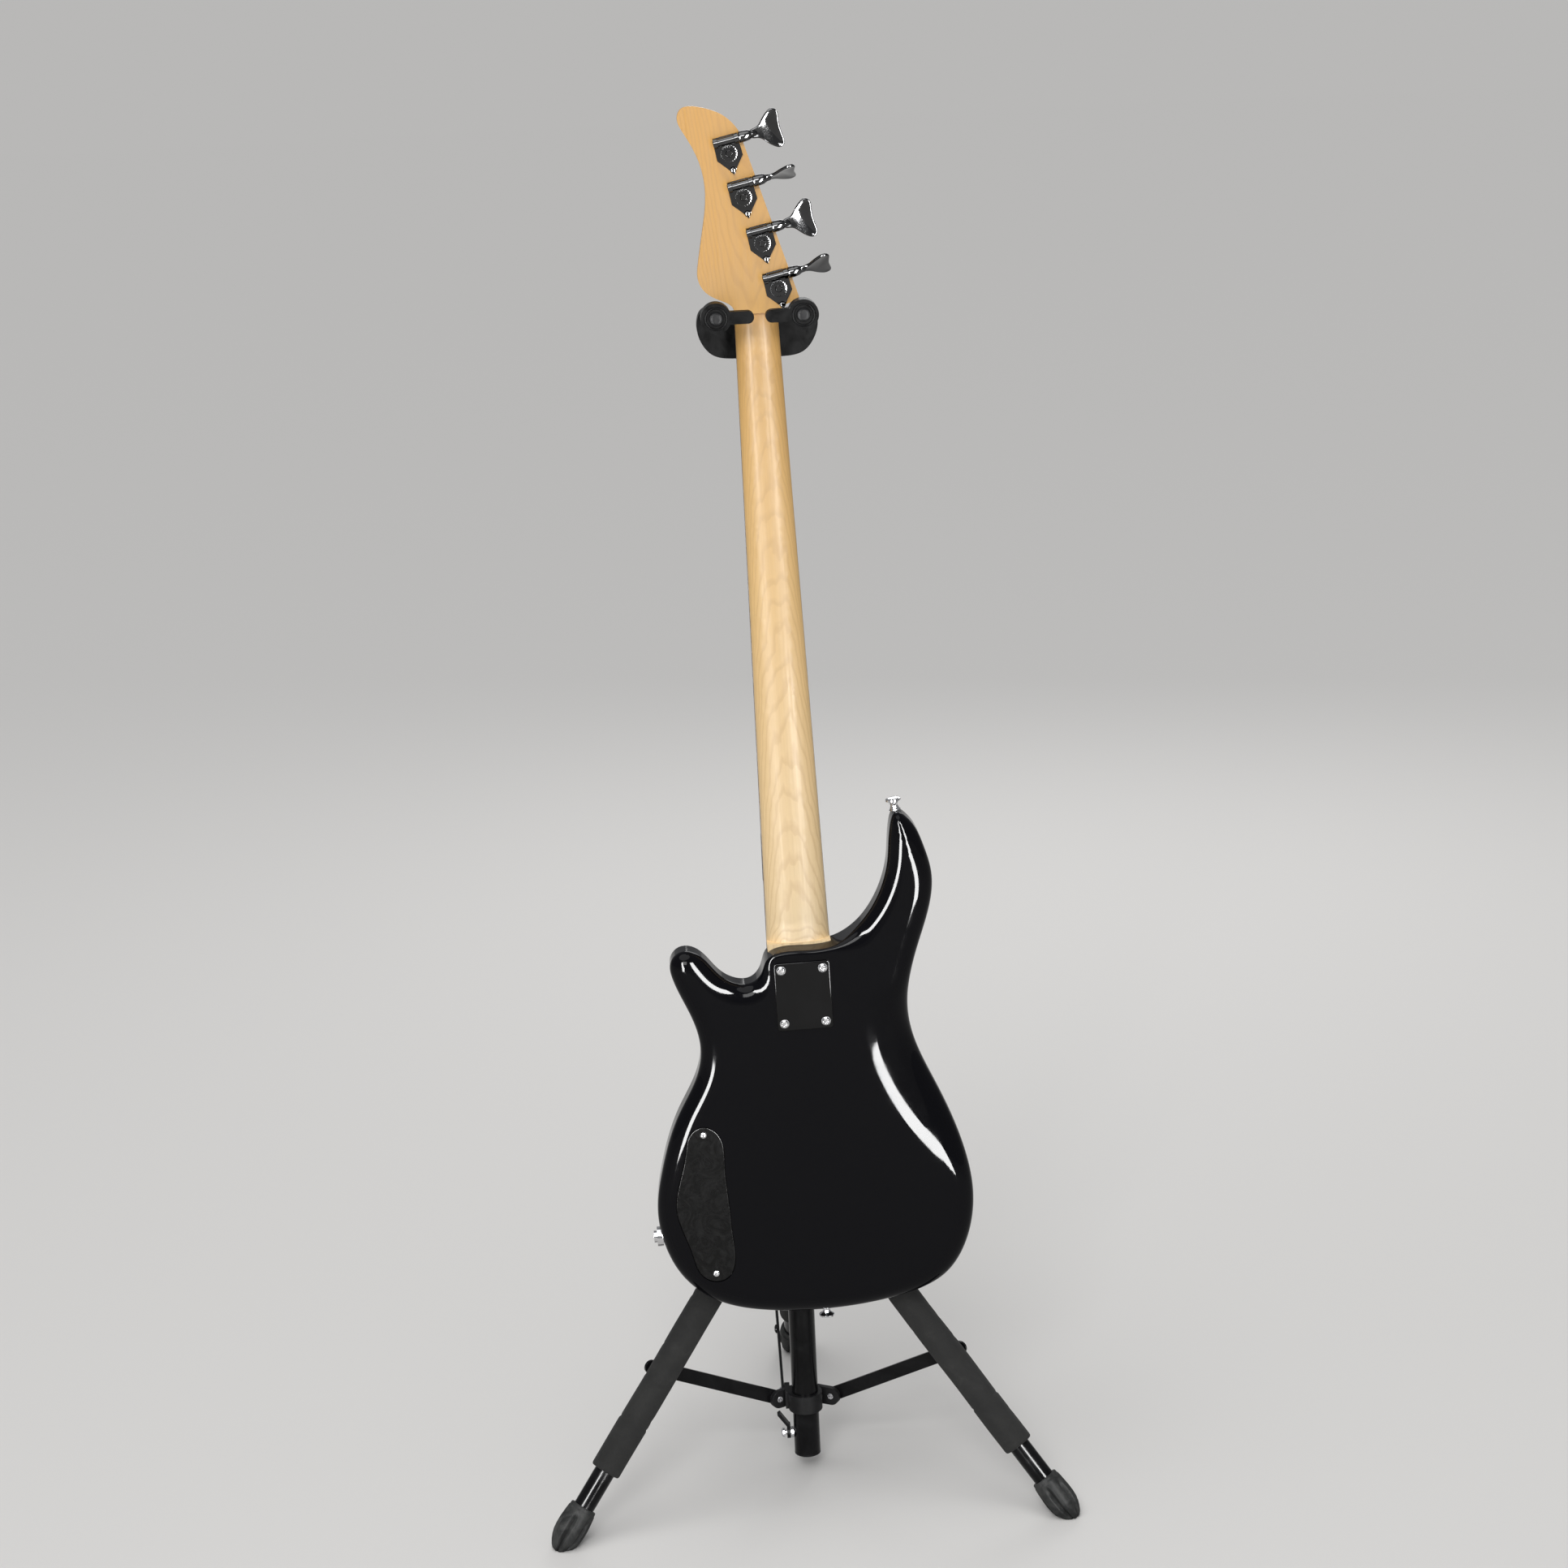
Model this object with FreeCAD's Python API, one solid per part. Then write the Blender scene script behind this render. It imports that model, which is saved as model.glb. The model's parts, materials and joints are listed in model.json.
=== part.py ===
import FreeCAD, Part
import math
import os

# A four-string electric bass that hangs by its headstock in a tripod floor stand.
# Millimetres, +Z up. The back of the bass faces -Y, its strings face the pole.
# Shapes are built about the pole axis (x = 0, y = 0, floor at z = 0) and moved at the end, so
# that the origin lies on the floor under the middle of the whole object.

V = FreeCAD.Vector

# ---------------------------------------------------------------- stand: driving dimensions
TUBE_R, TUBE_WALL = 12.7, 1.5            # lower tube
TUBE_BOTTOM, TUBE_TOP = 17.0, 640.0
MAST_R, MAST_WALL = 10.0, 1.5            # inner mast
MAST_BOTTOM, MAST_TOP = 430.0, 1086.0
CLUTCH_R = 17.6
RUN = 0.05                               # radial running clearance
GAP = 0.3                                # clearance between moving neighbours

LEG_AZIMUTHS = {"left": -60.0, "right": 60.0, "rear": 180.0}   # from -Y towards +X
LEG_SPLAY = 40.5                         # leg angle from the vertical, open
LEG_FOLDED = 5.0                         # the same, folded
BRACE_SIDES = {"left": 1, "right": -1, "rear": -1}   # which side of the leg's plane the strap is on
HUB_R, HUB_Z = 30.0, 293.9               # leg pivot
HUB_KNOB_TURN = 30.0                     # the hub's knob points between the right and the rear leg
LEG_R, LEG_WALL = 10.0, 1.2
LEG_LENGTH = 386.0                       # pivot to the end of the rubber foot
TONGUE = 24.0                            # pivot to the round part of the leg
FOAM_R, FOAM_START, FOAM_END = 14.9, 40.0, 303.0
FOOT_START = 341.0
FOOT_R = 15.0
BRACE_OFFSET = 21.0                      # strap plane beside the leg's own plane
STRAP_T, STRAP_W = 2.6, 13.5
COLLAR_PIVOT_R, COLLAR_PIVOT_Z = 20.0, 70.7
BRACE_ON_LEG = 198.2                     # leg pivot to brace pivot

YOKE_Z = 1137.5                          # finger axis
ARM_X = 38.0
ARM_R = 9.5
BOSS_R = 13.3
FINGER_Y = (-104.0, -92.0)
YOKE_RISE = 12.0

# ---------------------------------------------------------------- bass: driving dimensions
SCALE = 864.0                            # nut to saddles
BODY_T = 40.0
NUT_W, HEEL_W = 38.2, 58.5
BOARD_END = 654.0
BOARD_T, BOARD_TOP = 6.0, 11.0           # top of the fretboard above the body's front
HEEL_EDGE, POCKET_END = 579.0, 655.0
POCKET_DEPTH = 18.0
HEAD_BACK, HEAD_T = -15.0, 14.0
FRETS = 24
TUNER_AT = [(-138.6, -14.7), (-100.5, -4.7), (-60.3, 9.0), (-20.2, 20.5)]   # along, across
TUNER_TILT = 11.0
WORM_OFFSET = 11.0
KEY_REACH = 38.0
KEY_TURN = [0.0, 70.0, 0.0, 60.0]        # how each key stands at rest
KNOB_AT = [(772.0, -101.0), (815.0, -106.0), (858.0, -102.0)]
PICKUP_AT = [724.0, 806.0]
PLATE_AT, PLATE_W, PLATE_L = 619.0, 51.0, 64.0
SCREW_X, SCREW_Z = 19.05, 25.4
COVER_SCREWS = [(-101.0, -746.0), (-98.5, -882.5)]
JACK_AT = V(-149.5, -20.0, -849.0)
STRAP_BUTTONS = [(V(95.0, -20.0, -455.8), V(-0.12, 0, 0.99)), (V(2.5, -20.0, -930.6), V(0, 0, -1))]
RETAINER_AT = (-5.0, 50.0)
STRING_R = [1.3, 1.0, 0.8, 0.6]          # thickest on the bass side (+X)
NUT_SPREAD, BRIDGE_SPREAD = 9.7, 19.0    # string spacing
SADDLE_TOP = 15.0
BRIDGE_W = 77.0

# the bass hangs with a small lean towards the room and a small tilt in its own plane
LEAN, TILT = 1.05, 1.19
HANG = V(-1.24, -48.84, 1136.7)          # the nut, in the plane of the body's front
BASS = FreeCAD.Placement(HANG, FreeCAD.Rotation(V(1, 0, 0), -LEAN)
                         .multiply(FreeCAD.Rotation(V(0, 1, 0), -TILT)))

nodes = {}


# ---------------------------------------------------------------- helpers
def cyl(radius, start, end):
    """A cylinder between two points."""
    axis = end - start
    return Part.makeCylinder(radius, axis.Length, start, axis)


def ring(outer, inner, start, end):
    return cyl(outer, start, end).cut(cyl(inner, start, end))


def box(x0, x1, y0, y1, z0, z1):
    return Part.makeBox(x1 - x0, y1 - y0, z1 - z0, V(x0, y0, z0))


def fuse(shapes):
    shape = shapes[0]
    for other in shapes[1:]:
        shape = shape.fuse(other)
    return shape.removeSplitter()


def revolve(profile, start, direction):
    """A turned shape from (distance along, radius) points, along a direction from start."""
    points = [V(r, 0, d) for d, r in profile]
    points = [V(0, 0, profile[0][0])] + points + [V(0, 0, profile[-1][0])]
    clean = [points[0]]
    for p in points[1:]:
        if (p - clean[-1]).Length > 1e-6:
            clean.append(p)
    if (clean[0] - clean[-1]).Length > 1e-6:
        clean.append(clean[0])
    solid = Part.Face(Part.makePolygon(clean)).revolve(V(0, 0, 0), V(0, 0, 1), 360)
    solid.Placement = FreeCAD.Placement(start, FreeCAD.Rotation(V(0, 0, 1), direction))
    return solid


def rounded_plate(width, length, radius, y0, y1, x=0.0, z=0.0):
    """A flat plate in the XZ plane with rounded corners."""
    plate = box(x - width / 2, x + width / 2, y0, y1, z - length / 2, z + length / 2)
    return plate.makeFillet(radius, edges_along(plate, V(0, 1, 0)))


def edges_along(shape, direction):
    """Straight edges that run along a direction."""
    found = []
    for e in shape.Edges:
        if e.Curve.TypeId == "Part::GeomLine":
            if e.tangentAt(e.FirstParameter).cross(direction).Length < 1e-6:
                found.append(e)
    return found


def spline_face(points, y, closed=True):
    curve = Part.BSplineCurve()
    curve.interpolate([V(x, y, z) for x, z in points], PeriodicFlag=closed)
    return Part.Face(Part.Wire(curve.toShape()))


def about_z(shape, degrees):
    turned = shape.copy()
    turned.rotate(V(0, 0, 0), V(0, 0, 1), degrees)
    return turned


def beside_leg(shape, leg):
    """Turn a shape from beside the rear leg (on its -X side) to its place beside another leg."""
    if BRACE_SIDES[leg] > 0:
        shape = shape.mirror(V(0, 0, 0), V(1, 0, 0))
    return about_z(shape, LEG_AZIMUTHS[leg] - 180.0)


def add(name, shapes, on_bass=False):
    """File a node: one solid, or a list of separate solids."""
    if isinstance(shapes, list):
        shapes = Part.makeCompound(shapes)
    if on_bass:
        shapes = shapes.copy()
        shapes.Placement = BASS.multiply(shapes.Placement)
    nodes[name] = shapes


# ---------------------------------------------------------------- stand: lower tube
def lower_tube():
    tube = ring(TUBE_R, TUBE_R - TUBE_WALL, V(0, 0, TUBE_BOTTOM), V(0, 0, TUBE_TOP))
    lock_z = 37.0
    tube = tube.cut(cyl(2.5, V(-20, 0, lock_z), V(-5, 0, lock_z)))
    stud_z = TUBE_TOP - 18.0
    tube = tube.cut(cyl(3.6, V(0, 5, stud_z), V(0, 20, stud_z)))
    add("base_tube", tube)

    cap = revolve([(14, 11.2), (15, 12.7), (17, 12.7), (17, 11.2), (30, 11.0)], V(0, 0, 0), V(0, 0, 1))
    add("tube_end_cap", cap)

    # the bolt that the fold-lock lever turns on
    bolt = fuse([cyl(2.45, V(-23.0, 0, lock_z), V(-9, 0, lock_z)),
                 revolve([(0, 4.6), (2.2, 4.6), (3.4, 3.0)], V(-21.6, 0, lock_z), V(-1, 0, 0))])
    washer = ring(5.5, 2.45, V(-15.6, 0, lock_z), V(-12.95, 0, lock_z))
    add("lock_bolt", fuse([bolt, washer]))

    # flat against its washer at the bolt, then bent out and up to a thumb tab
    blade = fuse([cyl(6.0, V(-19.4, 0, 0), V(-16.0, 0, 0)), box(-19.4, -16.0, -4.5, 4.5, 0, 9.0)])
    tab_outline = [V(-19.4, -4.5, 7.5), V(-16.0, -4.5, 7.5), V(-25.6, -4.5, 21.6), V(-28.4, -4.5, 20.0)]
    tab = Part.Face(Part.makePolygon(tab_outline + tab_outline[:1])).extrude(V(0, 9.0, 0))
    lever = fuse([blade, tab]).cut(cyl(2.45 + RUN, V(-30, 0, 0), V(0, 0, 0)))
    lever.translate(V(0, 0, lock_z))
    add("fold_lock_lever", lever)


def collar():
    """The lower collar: a sleeve fixed on the tube with one ear for each brace."""
    z0, z1 = COLLAR_PIVOT_Z - 9, COLLAR_PIVOT_Z + 9
    ear_out = BRACE_OFFSET - STRAP_T / 2 - GAP
    body = cyl(16.5, V(0, 0, z0), V(0, 0, z1))
    pivot = V(-ear_out, COLLAR_PIVOT_R, COLLAR_PIVOT_Z)
    rivets = []
    for leg in LEG_AZIMUTHS:
        ear = fuse([box(-ear_out, -ear_out + 5, 0, COLLAR_PIVOT_R, z0, z1),
                    cyl(9.0, pivot, pivot + V(5, 0, 0))])
        body = body.fuse(beside_leg(ear, leg))
    body = body.cut(cyl(TUBE_R, V(0, 0, z0 - 1), V(0, 0, z1 + 1)))
    for leg in LEG_AZIMUTHS:
        body = body.cut(beside_leg(cyl(2.95, pivot + V(-5, 0, 0), pivot + V(5, 0, 0)), leg))
        seat = pivot + V(-STRAP_T - 2 * GAP, 0, 0)
        rivet = revolve([(-0.1, 5.2), (1.6, 4.6), (2.6, 2.6)], seat, V(-1, 0, 0))
        shank = cyl(2.95, pivot + V(-STRAP_T - 3 * GAP, 0, 0), pivot + V(5, 0, 0))
        rivets.append(beside_leg(fuse([rivet, shank]), leg))
    add("brace_collar", body.removeSplitter())
    add("collar_rivets", rivets)


def braces():
    """Flat straps from the collar to the legs, each with its own rivets."""
    splay = math.radians(LEG_SPLAY)
    r1 = HUB_R + BRACE_ON_LEG * math.sin(splay)
    z1 = HUB_Z - BRACE_ON_LEG * math.cos(splay)
    inner = V(-BRACE_OFFSET, COLLAR_PIVOT_R, COLLAR_PIVOT_Z)
    outer = V(-BRACE_OFFSET, r1, z1)
    half = V(STRAP_T / 2, 0, 0)
    along = outer - inner
    side = V(1, 0, 0).cross(along).normalize() * (STRAP_W / 2)
    bar = Part.Face(Part.makePolygon([inner - side - half, outer - side - half, outer + side - half,
                                      inner + side - half, inner - side - half])).extrude(half * 2)
    ends = [cyl(STRAP_W / 2, place - half, place + half) for place in (inner, outer)]
    strap = fuse([bar] + ends)
    strap = strap.cut(cyl(2.95 + RUN, inner - half * 3, inner + half * 3))
    middle = inner + along * 0.5
    for place in (middle, outer):
        head = revolve([(-0.6, 4.6), (1.2, 4.2), (2.2, 2.2)], place - half, V(-1, 0, 0))
        strap = strap.fuse(head)
    strap = strap.removeSplitter()
    for leg in LEG_AZIMUTHS:
        add("brace_" + leg, beside_leg(strap, leg))


def hub():
    """The sliding hub: a sleeve with a clevis for each leg, its pivot bolts and its knob."""
    z0, z1 = HUB_Z - 14, HUB_Z + 26
    body = fuse([cyl(18.5, V(0, 0, z0), V(0, 0, z1)), cyl(21.0, V(0, 0, z1 - 8), V(0, 0, z1))])
    bolts = []
    pivot = V(0, HUB_R, HUB_Z)
    for azimuth in LEG_AZIMUTHS.values():
        turn = azimuth - 180.0
        for x in (-11.5, 6.3):
            ear = fuse([box(x, x + 5.2, 8, HUB_R, HUB_Z - 9, HUB_Z + 9),
                        cyl(9.0, pivot + V(x, 0, 0), pivot + V(x + 5.2, 0, 0))])
            body = body.fuse(about_z(ear, turn))
        body = body.cut(about_z(box(-6.3, 6.3, 17.0, HUB_R + 20, HUB_Z - 20, HUB_Z + 16), turn))
        body = body.cut(about_z(cyl(3.0, pivot - V(20, 0, 0), pivot + V(20, 0, 0)), turn))
        bolt = fuse([cyl(3.0, pivot - V(11.5, 0, 0), pivot + V(13.5, 0, 0)),
                     cyl(5.5, pivot - V(15.0, 0, 0), pivot - V(11.5, 0, 0)),
                     cyl(5.5, pivot + V(11.5, 0, 0), pivot + V(15.0, 0, 0))])
        bolts.append(about_z(bolt, turn))
    body = body.cut(cyl(TUBE_R + RUN, V(0, 0, z0 - 1), V(0, 0, z1 + 1)))
    knob_z = z1 - 6.5
    body = body.fuse(about_z(cyl(7.0, V(16, 0, knob_z), V(27, 0, knob_z)), HUB_KNOB_TURN))
    body = body.cut(about_z(cyl(3.0 + RUN, V(0, 0, knob_z), V(40, 0, knob_z)), HUB_KNOB_TURN))
    add("leg_hub", body.removeSplitter())
    add("hub_bolts", bolts)
    knob = wing_knob(V(TUBE_R + 0.4, 0, knob_z), V(1, 0, 0), 27 + GAP - TUBE_R - 0.4, 3.0)
    add("hub_knob", about_z(knob, HUB_KNOB_TURN))


def wing_knob(tip, direction, reach, radius):
    """A lobed hand knob on a stud; reach is from the stud's tip to the back of the knob."""
    stud = cyl(radius, V(0, 0, 0), V(0, 0, reach + 2))
    grip = cyl(11.0, V(0, 0, reach), V(0, 0, reach + 13))
    for lobe in range(5):
        angle = math.radians(72.0 * lobe)
        centre = V(10.0 * math.cos(angle), 10.0 * math.sin(angle), reach)
        grip = grip.fuse(cyl(4.5, centre, centre + V(0, 0, 13)))
    knob = fuse([stud, grip])
    knob.Placement = FreeCAD.Placement(tip, FreeCAD.Rotation(V(0, 0, 1), direction))
    return knob


def legs():
    """One leg built in the rear plane, pivot at the hub, then turned to each azimuth."""
    splay = math.radians(LEG_SPLAY)
    down = V(0, math.sin(splay), -math.cos(splay))
    pivot = V(0, HUB_R, HUB_Z)

    def at(distance):
        return pivot + down * distance

    tongue = fuse([cyl(8.5, pivot - V(6, 0, 0), pivot + V(6, 0, 0)),
                   leg_bar(12.0, 17.0, at(0), at(TONGUE + 6))])
    tube = ring(LEG_R, LEG_R - LEG_WALL, at(TONGUE), at(FOOT_START + 30))
    plug = cyl(LEG_R, at(TONGUE - 2), at(TONGUE + 6))
    leg = fuse([tongue, tube, plug])
    leg = leg.cut(cyl(3.0 + RUN, pivot - V(10, 0, 0), pivot + V(10, 0, 0)))

    foam = ring(FOAM_R, LEG_R, at(FOAM_START), at(FOAM_END))

    foot = revolve([(FOOT_START, 12.6), (FOOT_START + 4, 13.6), (FOOT_START + 24, FOOT_R),
                    (FOOT_START + 33, 14.4), (FOOT_START + 40, 11.5), (LEG_LENGTH + 4, 6.5)],
                   pivot, down)
    side = V(1, 0, 0)
    for flute in range(6):
        angle = 60.0 * flute + 30.0
        out = FreeCAD.Rotation(down, angle).multVec(side)
        groove = cyl(7.0, at(FOOT_START + 8) + out * 20.3, at(LEG_LENGTH + 12) + out * 14.5)
        foot = foot.cut(groove)
    foot = foot.cut(cyl(LEG_R, at(FOOT_START - 1), at(FOOT_START + 30)))
    foot = foot.cut(box(-60, 60, 0, 500, -60, 0))

    for side_name, azimuth in LEG_AZIMUTHS.items():
        turn = azimuth - 180.0
        add("leg_" + side_name, about_z(leg, turn))
        add("foam_" + side_name, about_z(foam, turn))
        add("foot_" + side_name, about_z(foot, turn))


def leg_bar(thick, width, start, end):
    """A flat bar along the leg, thick across the leg's plane."""
    along = end - start
    side = V(1, 0, 0).cross(along).normalize() * (width / 2)
    half = V(thick / 2, 0, 0)
    corners = [start - side - half, end - side - half, end + side - half, start + side - half]
    return Part.Face(Part.makePolygon(corners + corners[:1])).extrude(half * 2)


def mast():
    """The mast, its clutch on the lower tube, and the mount that carries the yoke."""
    clutch_z0, clutch_z1 = TUBE_TOP - 40, TUBE_TOP + 8
    stud_z = TUBE_TOP - 18
    housing = fuse([cyl(CLUTCH_R, V(0, 0, clutch_z0), V(0, 0, clutch_z1)),
                    cyl(9.0, V(0, 10, stud_z), V(0, 30, stud_z))])
    rims = [e for e in housing.Edges if e.BoundBox.ZLength < 1e-6 and e.BoundBox.XLength > 2 * CLUTCH_R - 1]
    housing = housing.makeFillet(2.0, rims)
    housing = housing.cut(cyl(TUBE_R, V(0, 0, clutch_z0 - 1), V(0, 0, TUBE_TOP)))
    housing = housing.cut(cyl(MAST_R + 0.6, V(0, 0, TUBE_TOP - 1), V(0, 0, clutch_z1 + 1)))
    housing = housing.cut(cyl(3.0 + RUN, V(0, 0, stud_z), V(0, 40, stud_z)))
    add("clutch_housing", housing)
    add("clutch_bushing", ring(TUBE_R - TUBE_WALL, MAST_R + RUN, V(0, 0, TUBE_TOP - 60), V(0, 0, TUBE_TOP))
        .cut(cyl(3.6, V(0, 5, stud_z), V(0, 20, stud_z))))
    add("clutch_knob", wing_knob(V(0, MAST_R + 0.4, stud_z), V(0, 1, 0), 30 + GAP - MAST_R - 0.4, 3.0))

    add("mast_tube", ring(MAST_R, MAST_R - MAST_WALL, V(0, 0, MAST_BOTTOM), V(0, 0, MAST_TOP)))
    mount = fuse([cyl(MAST_R - MAST_WALL, V(0, 0, MAST_TOP - 30), V(0, 0, MAST_TOP)),
                  cyl(15.0, V(0, 0, MAST_TOP), V(0, 0, MAST_TOP + 6)),
                  box(-6, 6, -6, 6, MAST_TOP, MAST_TOP + 34)])
    add("yoke_mount", mount)


def yoke():
    """The yoke: a housing behind the neck, an arm each side of it, and the closing fingers."""
    bottom = MAST_TOP + 6 + GAP
    top = YOKE_Z + 1
    outline = [(-52, top - 6), (-50, bottom + 16), (-40, bottom + 5), (-22, bottom + 1.5), (0, bottom + 1.2),
               (22, bottom + 1.5), (40, bottom + 5), (50, bottom + 16), (52, top - 6), (46, top),
               (30, top - 3), (0, top - 5), (-30, top - 3), (-46, top)]
    front, back = -28.0, -6.0
    housing = spline_face(outline, front).extrude(V(0, back - front, 0))
    housing = housing.fuse(cyl(17.0, V(0, 0, bottom), V(0, 0, top - 8)))
    for side in (-1, 1):
        x = side * ARM_X
        arm = cyl(ARM_R, V(x, back - 4, YOKE_Z - 6.5), V(x, -84, YOKE_Z - 0.5))
        boss = cyl(BOSS_R, V(x, FINGER_Y[1] - 7, YOKE_Z), V(x, FINGER_Y[1] + 9, YOKE_Z))
        boss = boss.cut(box(-90, 90, -150, FINGER_Y[1] + GAP, 1000, 1300))
        housing = housing.fuse(arm).fuse(boss)
    housing = housing.cut(box(-6 - RUN, 6 + RUN, -6 - RUN, 6 + RUN, bottom - 5, MAST_TOP + 34 + 1))
    for side in (-1, 1):
        housing = housing.cut(cyl(3.0, V(side * ARM_X, -120, YOKE_Z), V(side * ARM_X, -78, YOKE_Z)))
    add("yoke_housing", housing.removeSplitter())

    pins = []
    for side, name in ((-1, "left"), (1, "right")):
        x = side * ARM_X
        tip = side * 5.0
        y0, y1 = FINGER_Y
        hub_disc = cyl(BOSS_R, V(x, y0, YOKE_Z), V(x, y1, YOKE_Z))
        lo, hi = sorted((x, tip + side * 5.5))
        beam = box(lo, hi, y0, y1, YOKE_Z - 5.5, YOKE_Z + 5.5)
        end = cyl(5.5, V(tip + side * 5.5, y0, YOKE_Z), V(tip + side * 5.5, y1, YOKE_Z))
        finger = fuse([hub_disc, beam, end]).cut(cyl(3.0 + RUN, V(x, y0 - 1, YOKE_Z), V(x, y1 + 1, YOKE_Z)))
        add("grip_finger_" + name, finger)
        pin = fuse([cyl(3.0, V(x, y0 - GAP, YOKE_Z), V(x, -78, YOKE_Z)),
                    revolve([(0, 6.0), (1.2, 5.6), (2.0, 3.6)], V(x, y0 - GAP, YOKE_Z), V(0, -1, 0))])
        pins.append(pin)
    add("finger_pins", pins)


# ---------------------------------------------------------------- bass: wood
# Bass shapes have x across (bass strings at +X), y towards the strings with 0 at the body's
# front face, and z = minus the distance from the nut towards the bridge.
BODY_OUTLINE = [(0, -577), (18, -577), (32, -574.5), (45, -567.5), (58, -556), (75, -531), (84.5, -502),
                (88, -473), (95.5, -456), (106, -463), (118, -487), (124.5, -516), (121, -545),
                (108, -583), (97, -626), (99, -668),
                (119, -722), (138, -773), (146.5, -821), (140, -867), (117, -904), (72, -923),
                (8, -930.5), (-55, -927), (-98.7, -914), (-129, -888), (-145, -852), (-148.5, -820),
                (-142, -783), (-122, -728), (-102, -690), (-97.6, -665), (-105, -632),
                (-118.5, -597), (-119.5, -583), (-112, -573.5),
                (-101, -572.5), (-90, -579), (-76, -596), (-61, -606), (-47, -606.5), (-37, -597),
                (-31, -583.5), (-18, -577.5)]


def bass_body():
    body = spline_face(BODY_OUTLINE, -BODY_T).extrude(V(0, BODY_T, 0))
    pocket = box(-29.3, 29.3, -POCKET_DEPTH, 1, -POCKET_END - 0.3, -HEEL_EDGE + 20)
    body = body.cut(pocket)
    for u in PICKUP_AT:
        body = body.cut(rounded_plate(95.0, 21.0, 4.0, -18.0, 1.0, 3.0, -u))
    cavity = spline_face(cover_outline(4.0), -BODY_T - 1).extrude(V(0, 32.0, 0))
    rebate = spline_face(cover_outline(0.0), -BODY_T - 1).extrude(V(0, 3.5, 0))
    body = body.cut(cavity).cut(rebate)
    for x, z in COVER_SCREWS:
        body = body.fuse(cyl(5.0, V(x, -BODY_T + 2.5, z), V(x, -8, z)))
        body = body.cut(cyl(1.5, V(x, -BODY_T - 5, z), V(x, -28, z)))
    for u, v in KNOB_AT:
        body = body.cut(cyl(4.0, V(v, -20, -u), V(v, 5, -u)))
    for x in (-SCREW_X, SCREW_X):
        for dz in (-SCREW_Z, SCREW_Z):
            body = body.cut(cyl(2.2, V(x, -BODY_T - 5, -PLATE_AT + dz), V(x, 5, -PLATE_AT + dz)))
    body = body.cut(cyl(9.5, JACK_AT + V(-10, 0, 0), JACK_AT + V(30, 0, 0)))
    for place, out in STRAP_BUTTONS:
        body = body.cut(cyl(2.0, place + out * 5, place - out * 14))
    add("bass_body", body.removeSplitter(), True)


def cover_outline(inset):
    """The control cover: wide where the middle potentiometer sits, round at both ends."""
    points = [(-100.5, -738.5), (-88.5, -745), (-83.0, -778), (-81.5, -814), (-80.0, -850), (-80.5, -876),
              (-88, -888), (-100.5, -890.5), (-111.5, -884), (-119.5, -862), (-127.5, -836),
              (-131.0, -814), (-126, -790), (-118.5, -762), (-112.5, -744)]
    centre = (-102.0, -815.0)
    pulled = []
    for x, z in points:
        share = 1.0 - inset / math.hypot(x - centre[0], z - centre[1])
        pulled.append((centre[0] + (x - centre[0]) * share, centre[1] + (z - centre[1]) * share))
    return pulled


def neck_section(width, back, u):
    """A D-shaped section of the neck under the fretboard."""
    top = BOARD_TOP - BOARD_T
    half = width / 2
    side = top - 4.0
    ellipse = Part.Ellipse(V(0, side, -u), half, side - back)
    curve = Part.ArcOfEllipse(ellipse, math.pi, 2 * math.pi).toShape()
    ends = sorted((v.Point for v in curve.Vertexes), key=lambda p: p.x)
    left, right = ends[0], ends[-1]
    walls = [Part.makeLine(right, V(half, top, -u)), Part.makeLine(V(half, top, -u), V(-half, top, -u)),
             Part.makeLine(V(-half, top, -u), left)]
    return Part.Wire(Part.__sortEdges__([curve] + walls))


HEAD_OUTLINE = [(-19.1, 0), (-21, 6.5), (-32.6, 13.5), (-45.4, 23), (-49.2, 32), (-48.4, 44), (-42, 75),
                (-37.5, 104.5), (-39.6, 127), (-47.6, 148.4), (-53.5, 159), (-57.5, 171),
                (-54, 178.5), (-45.6, 180.5), (-33, 178), (-21.3, 173.4), (-11.3, 165.7), (-4.2, 155.7)]


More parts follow.
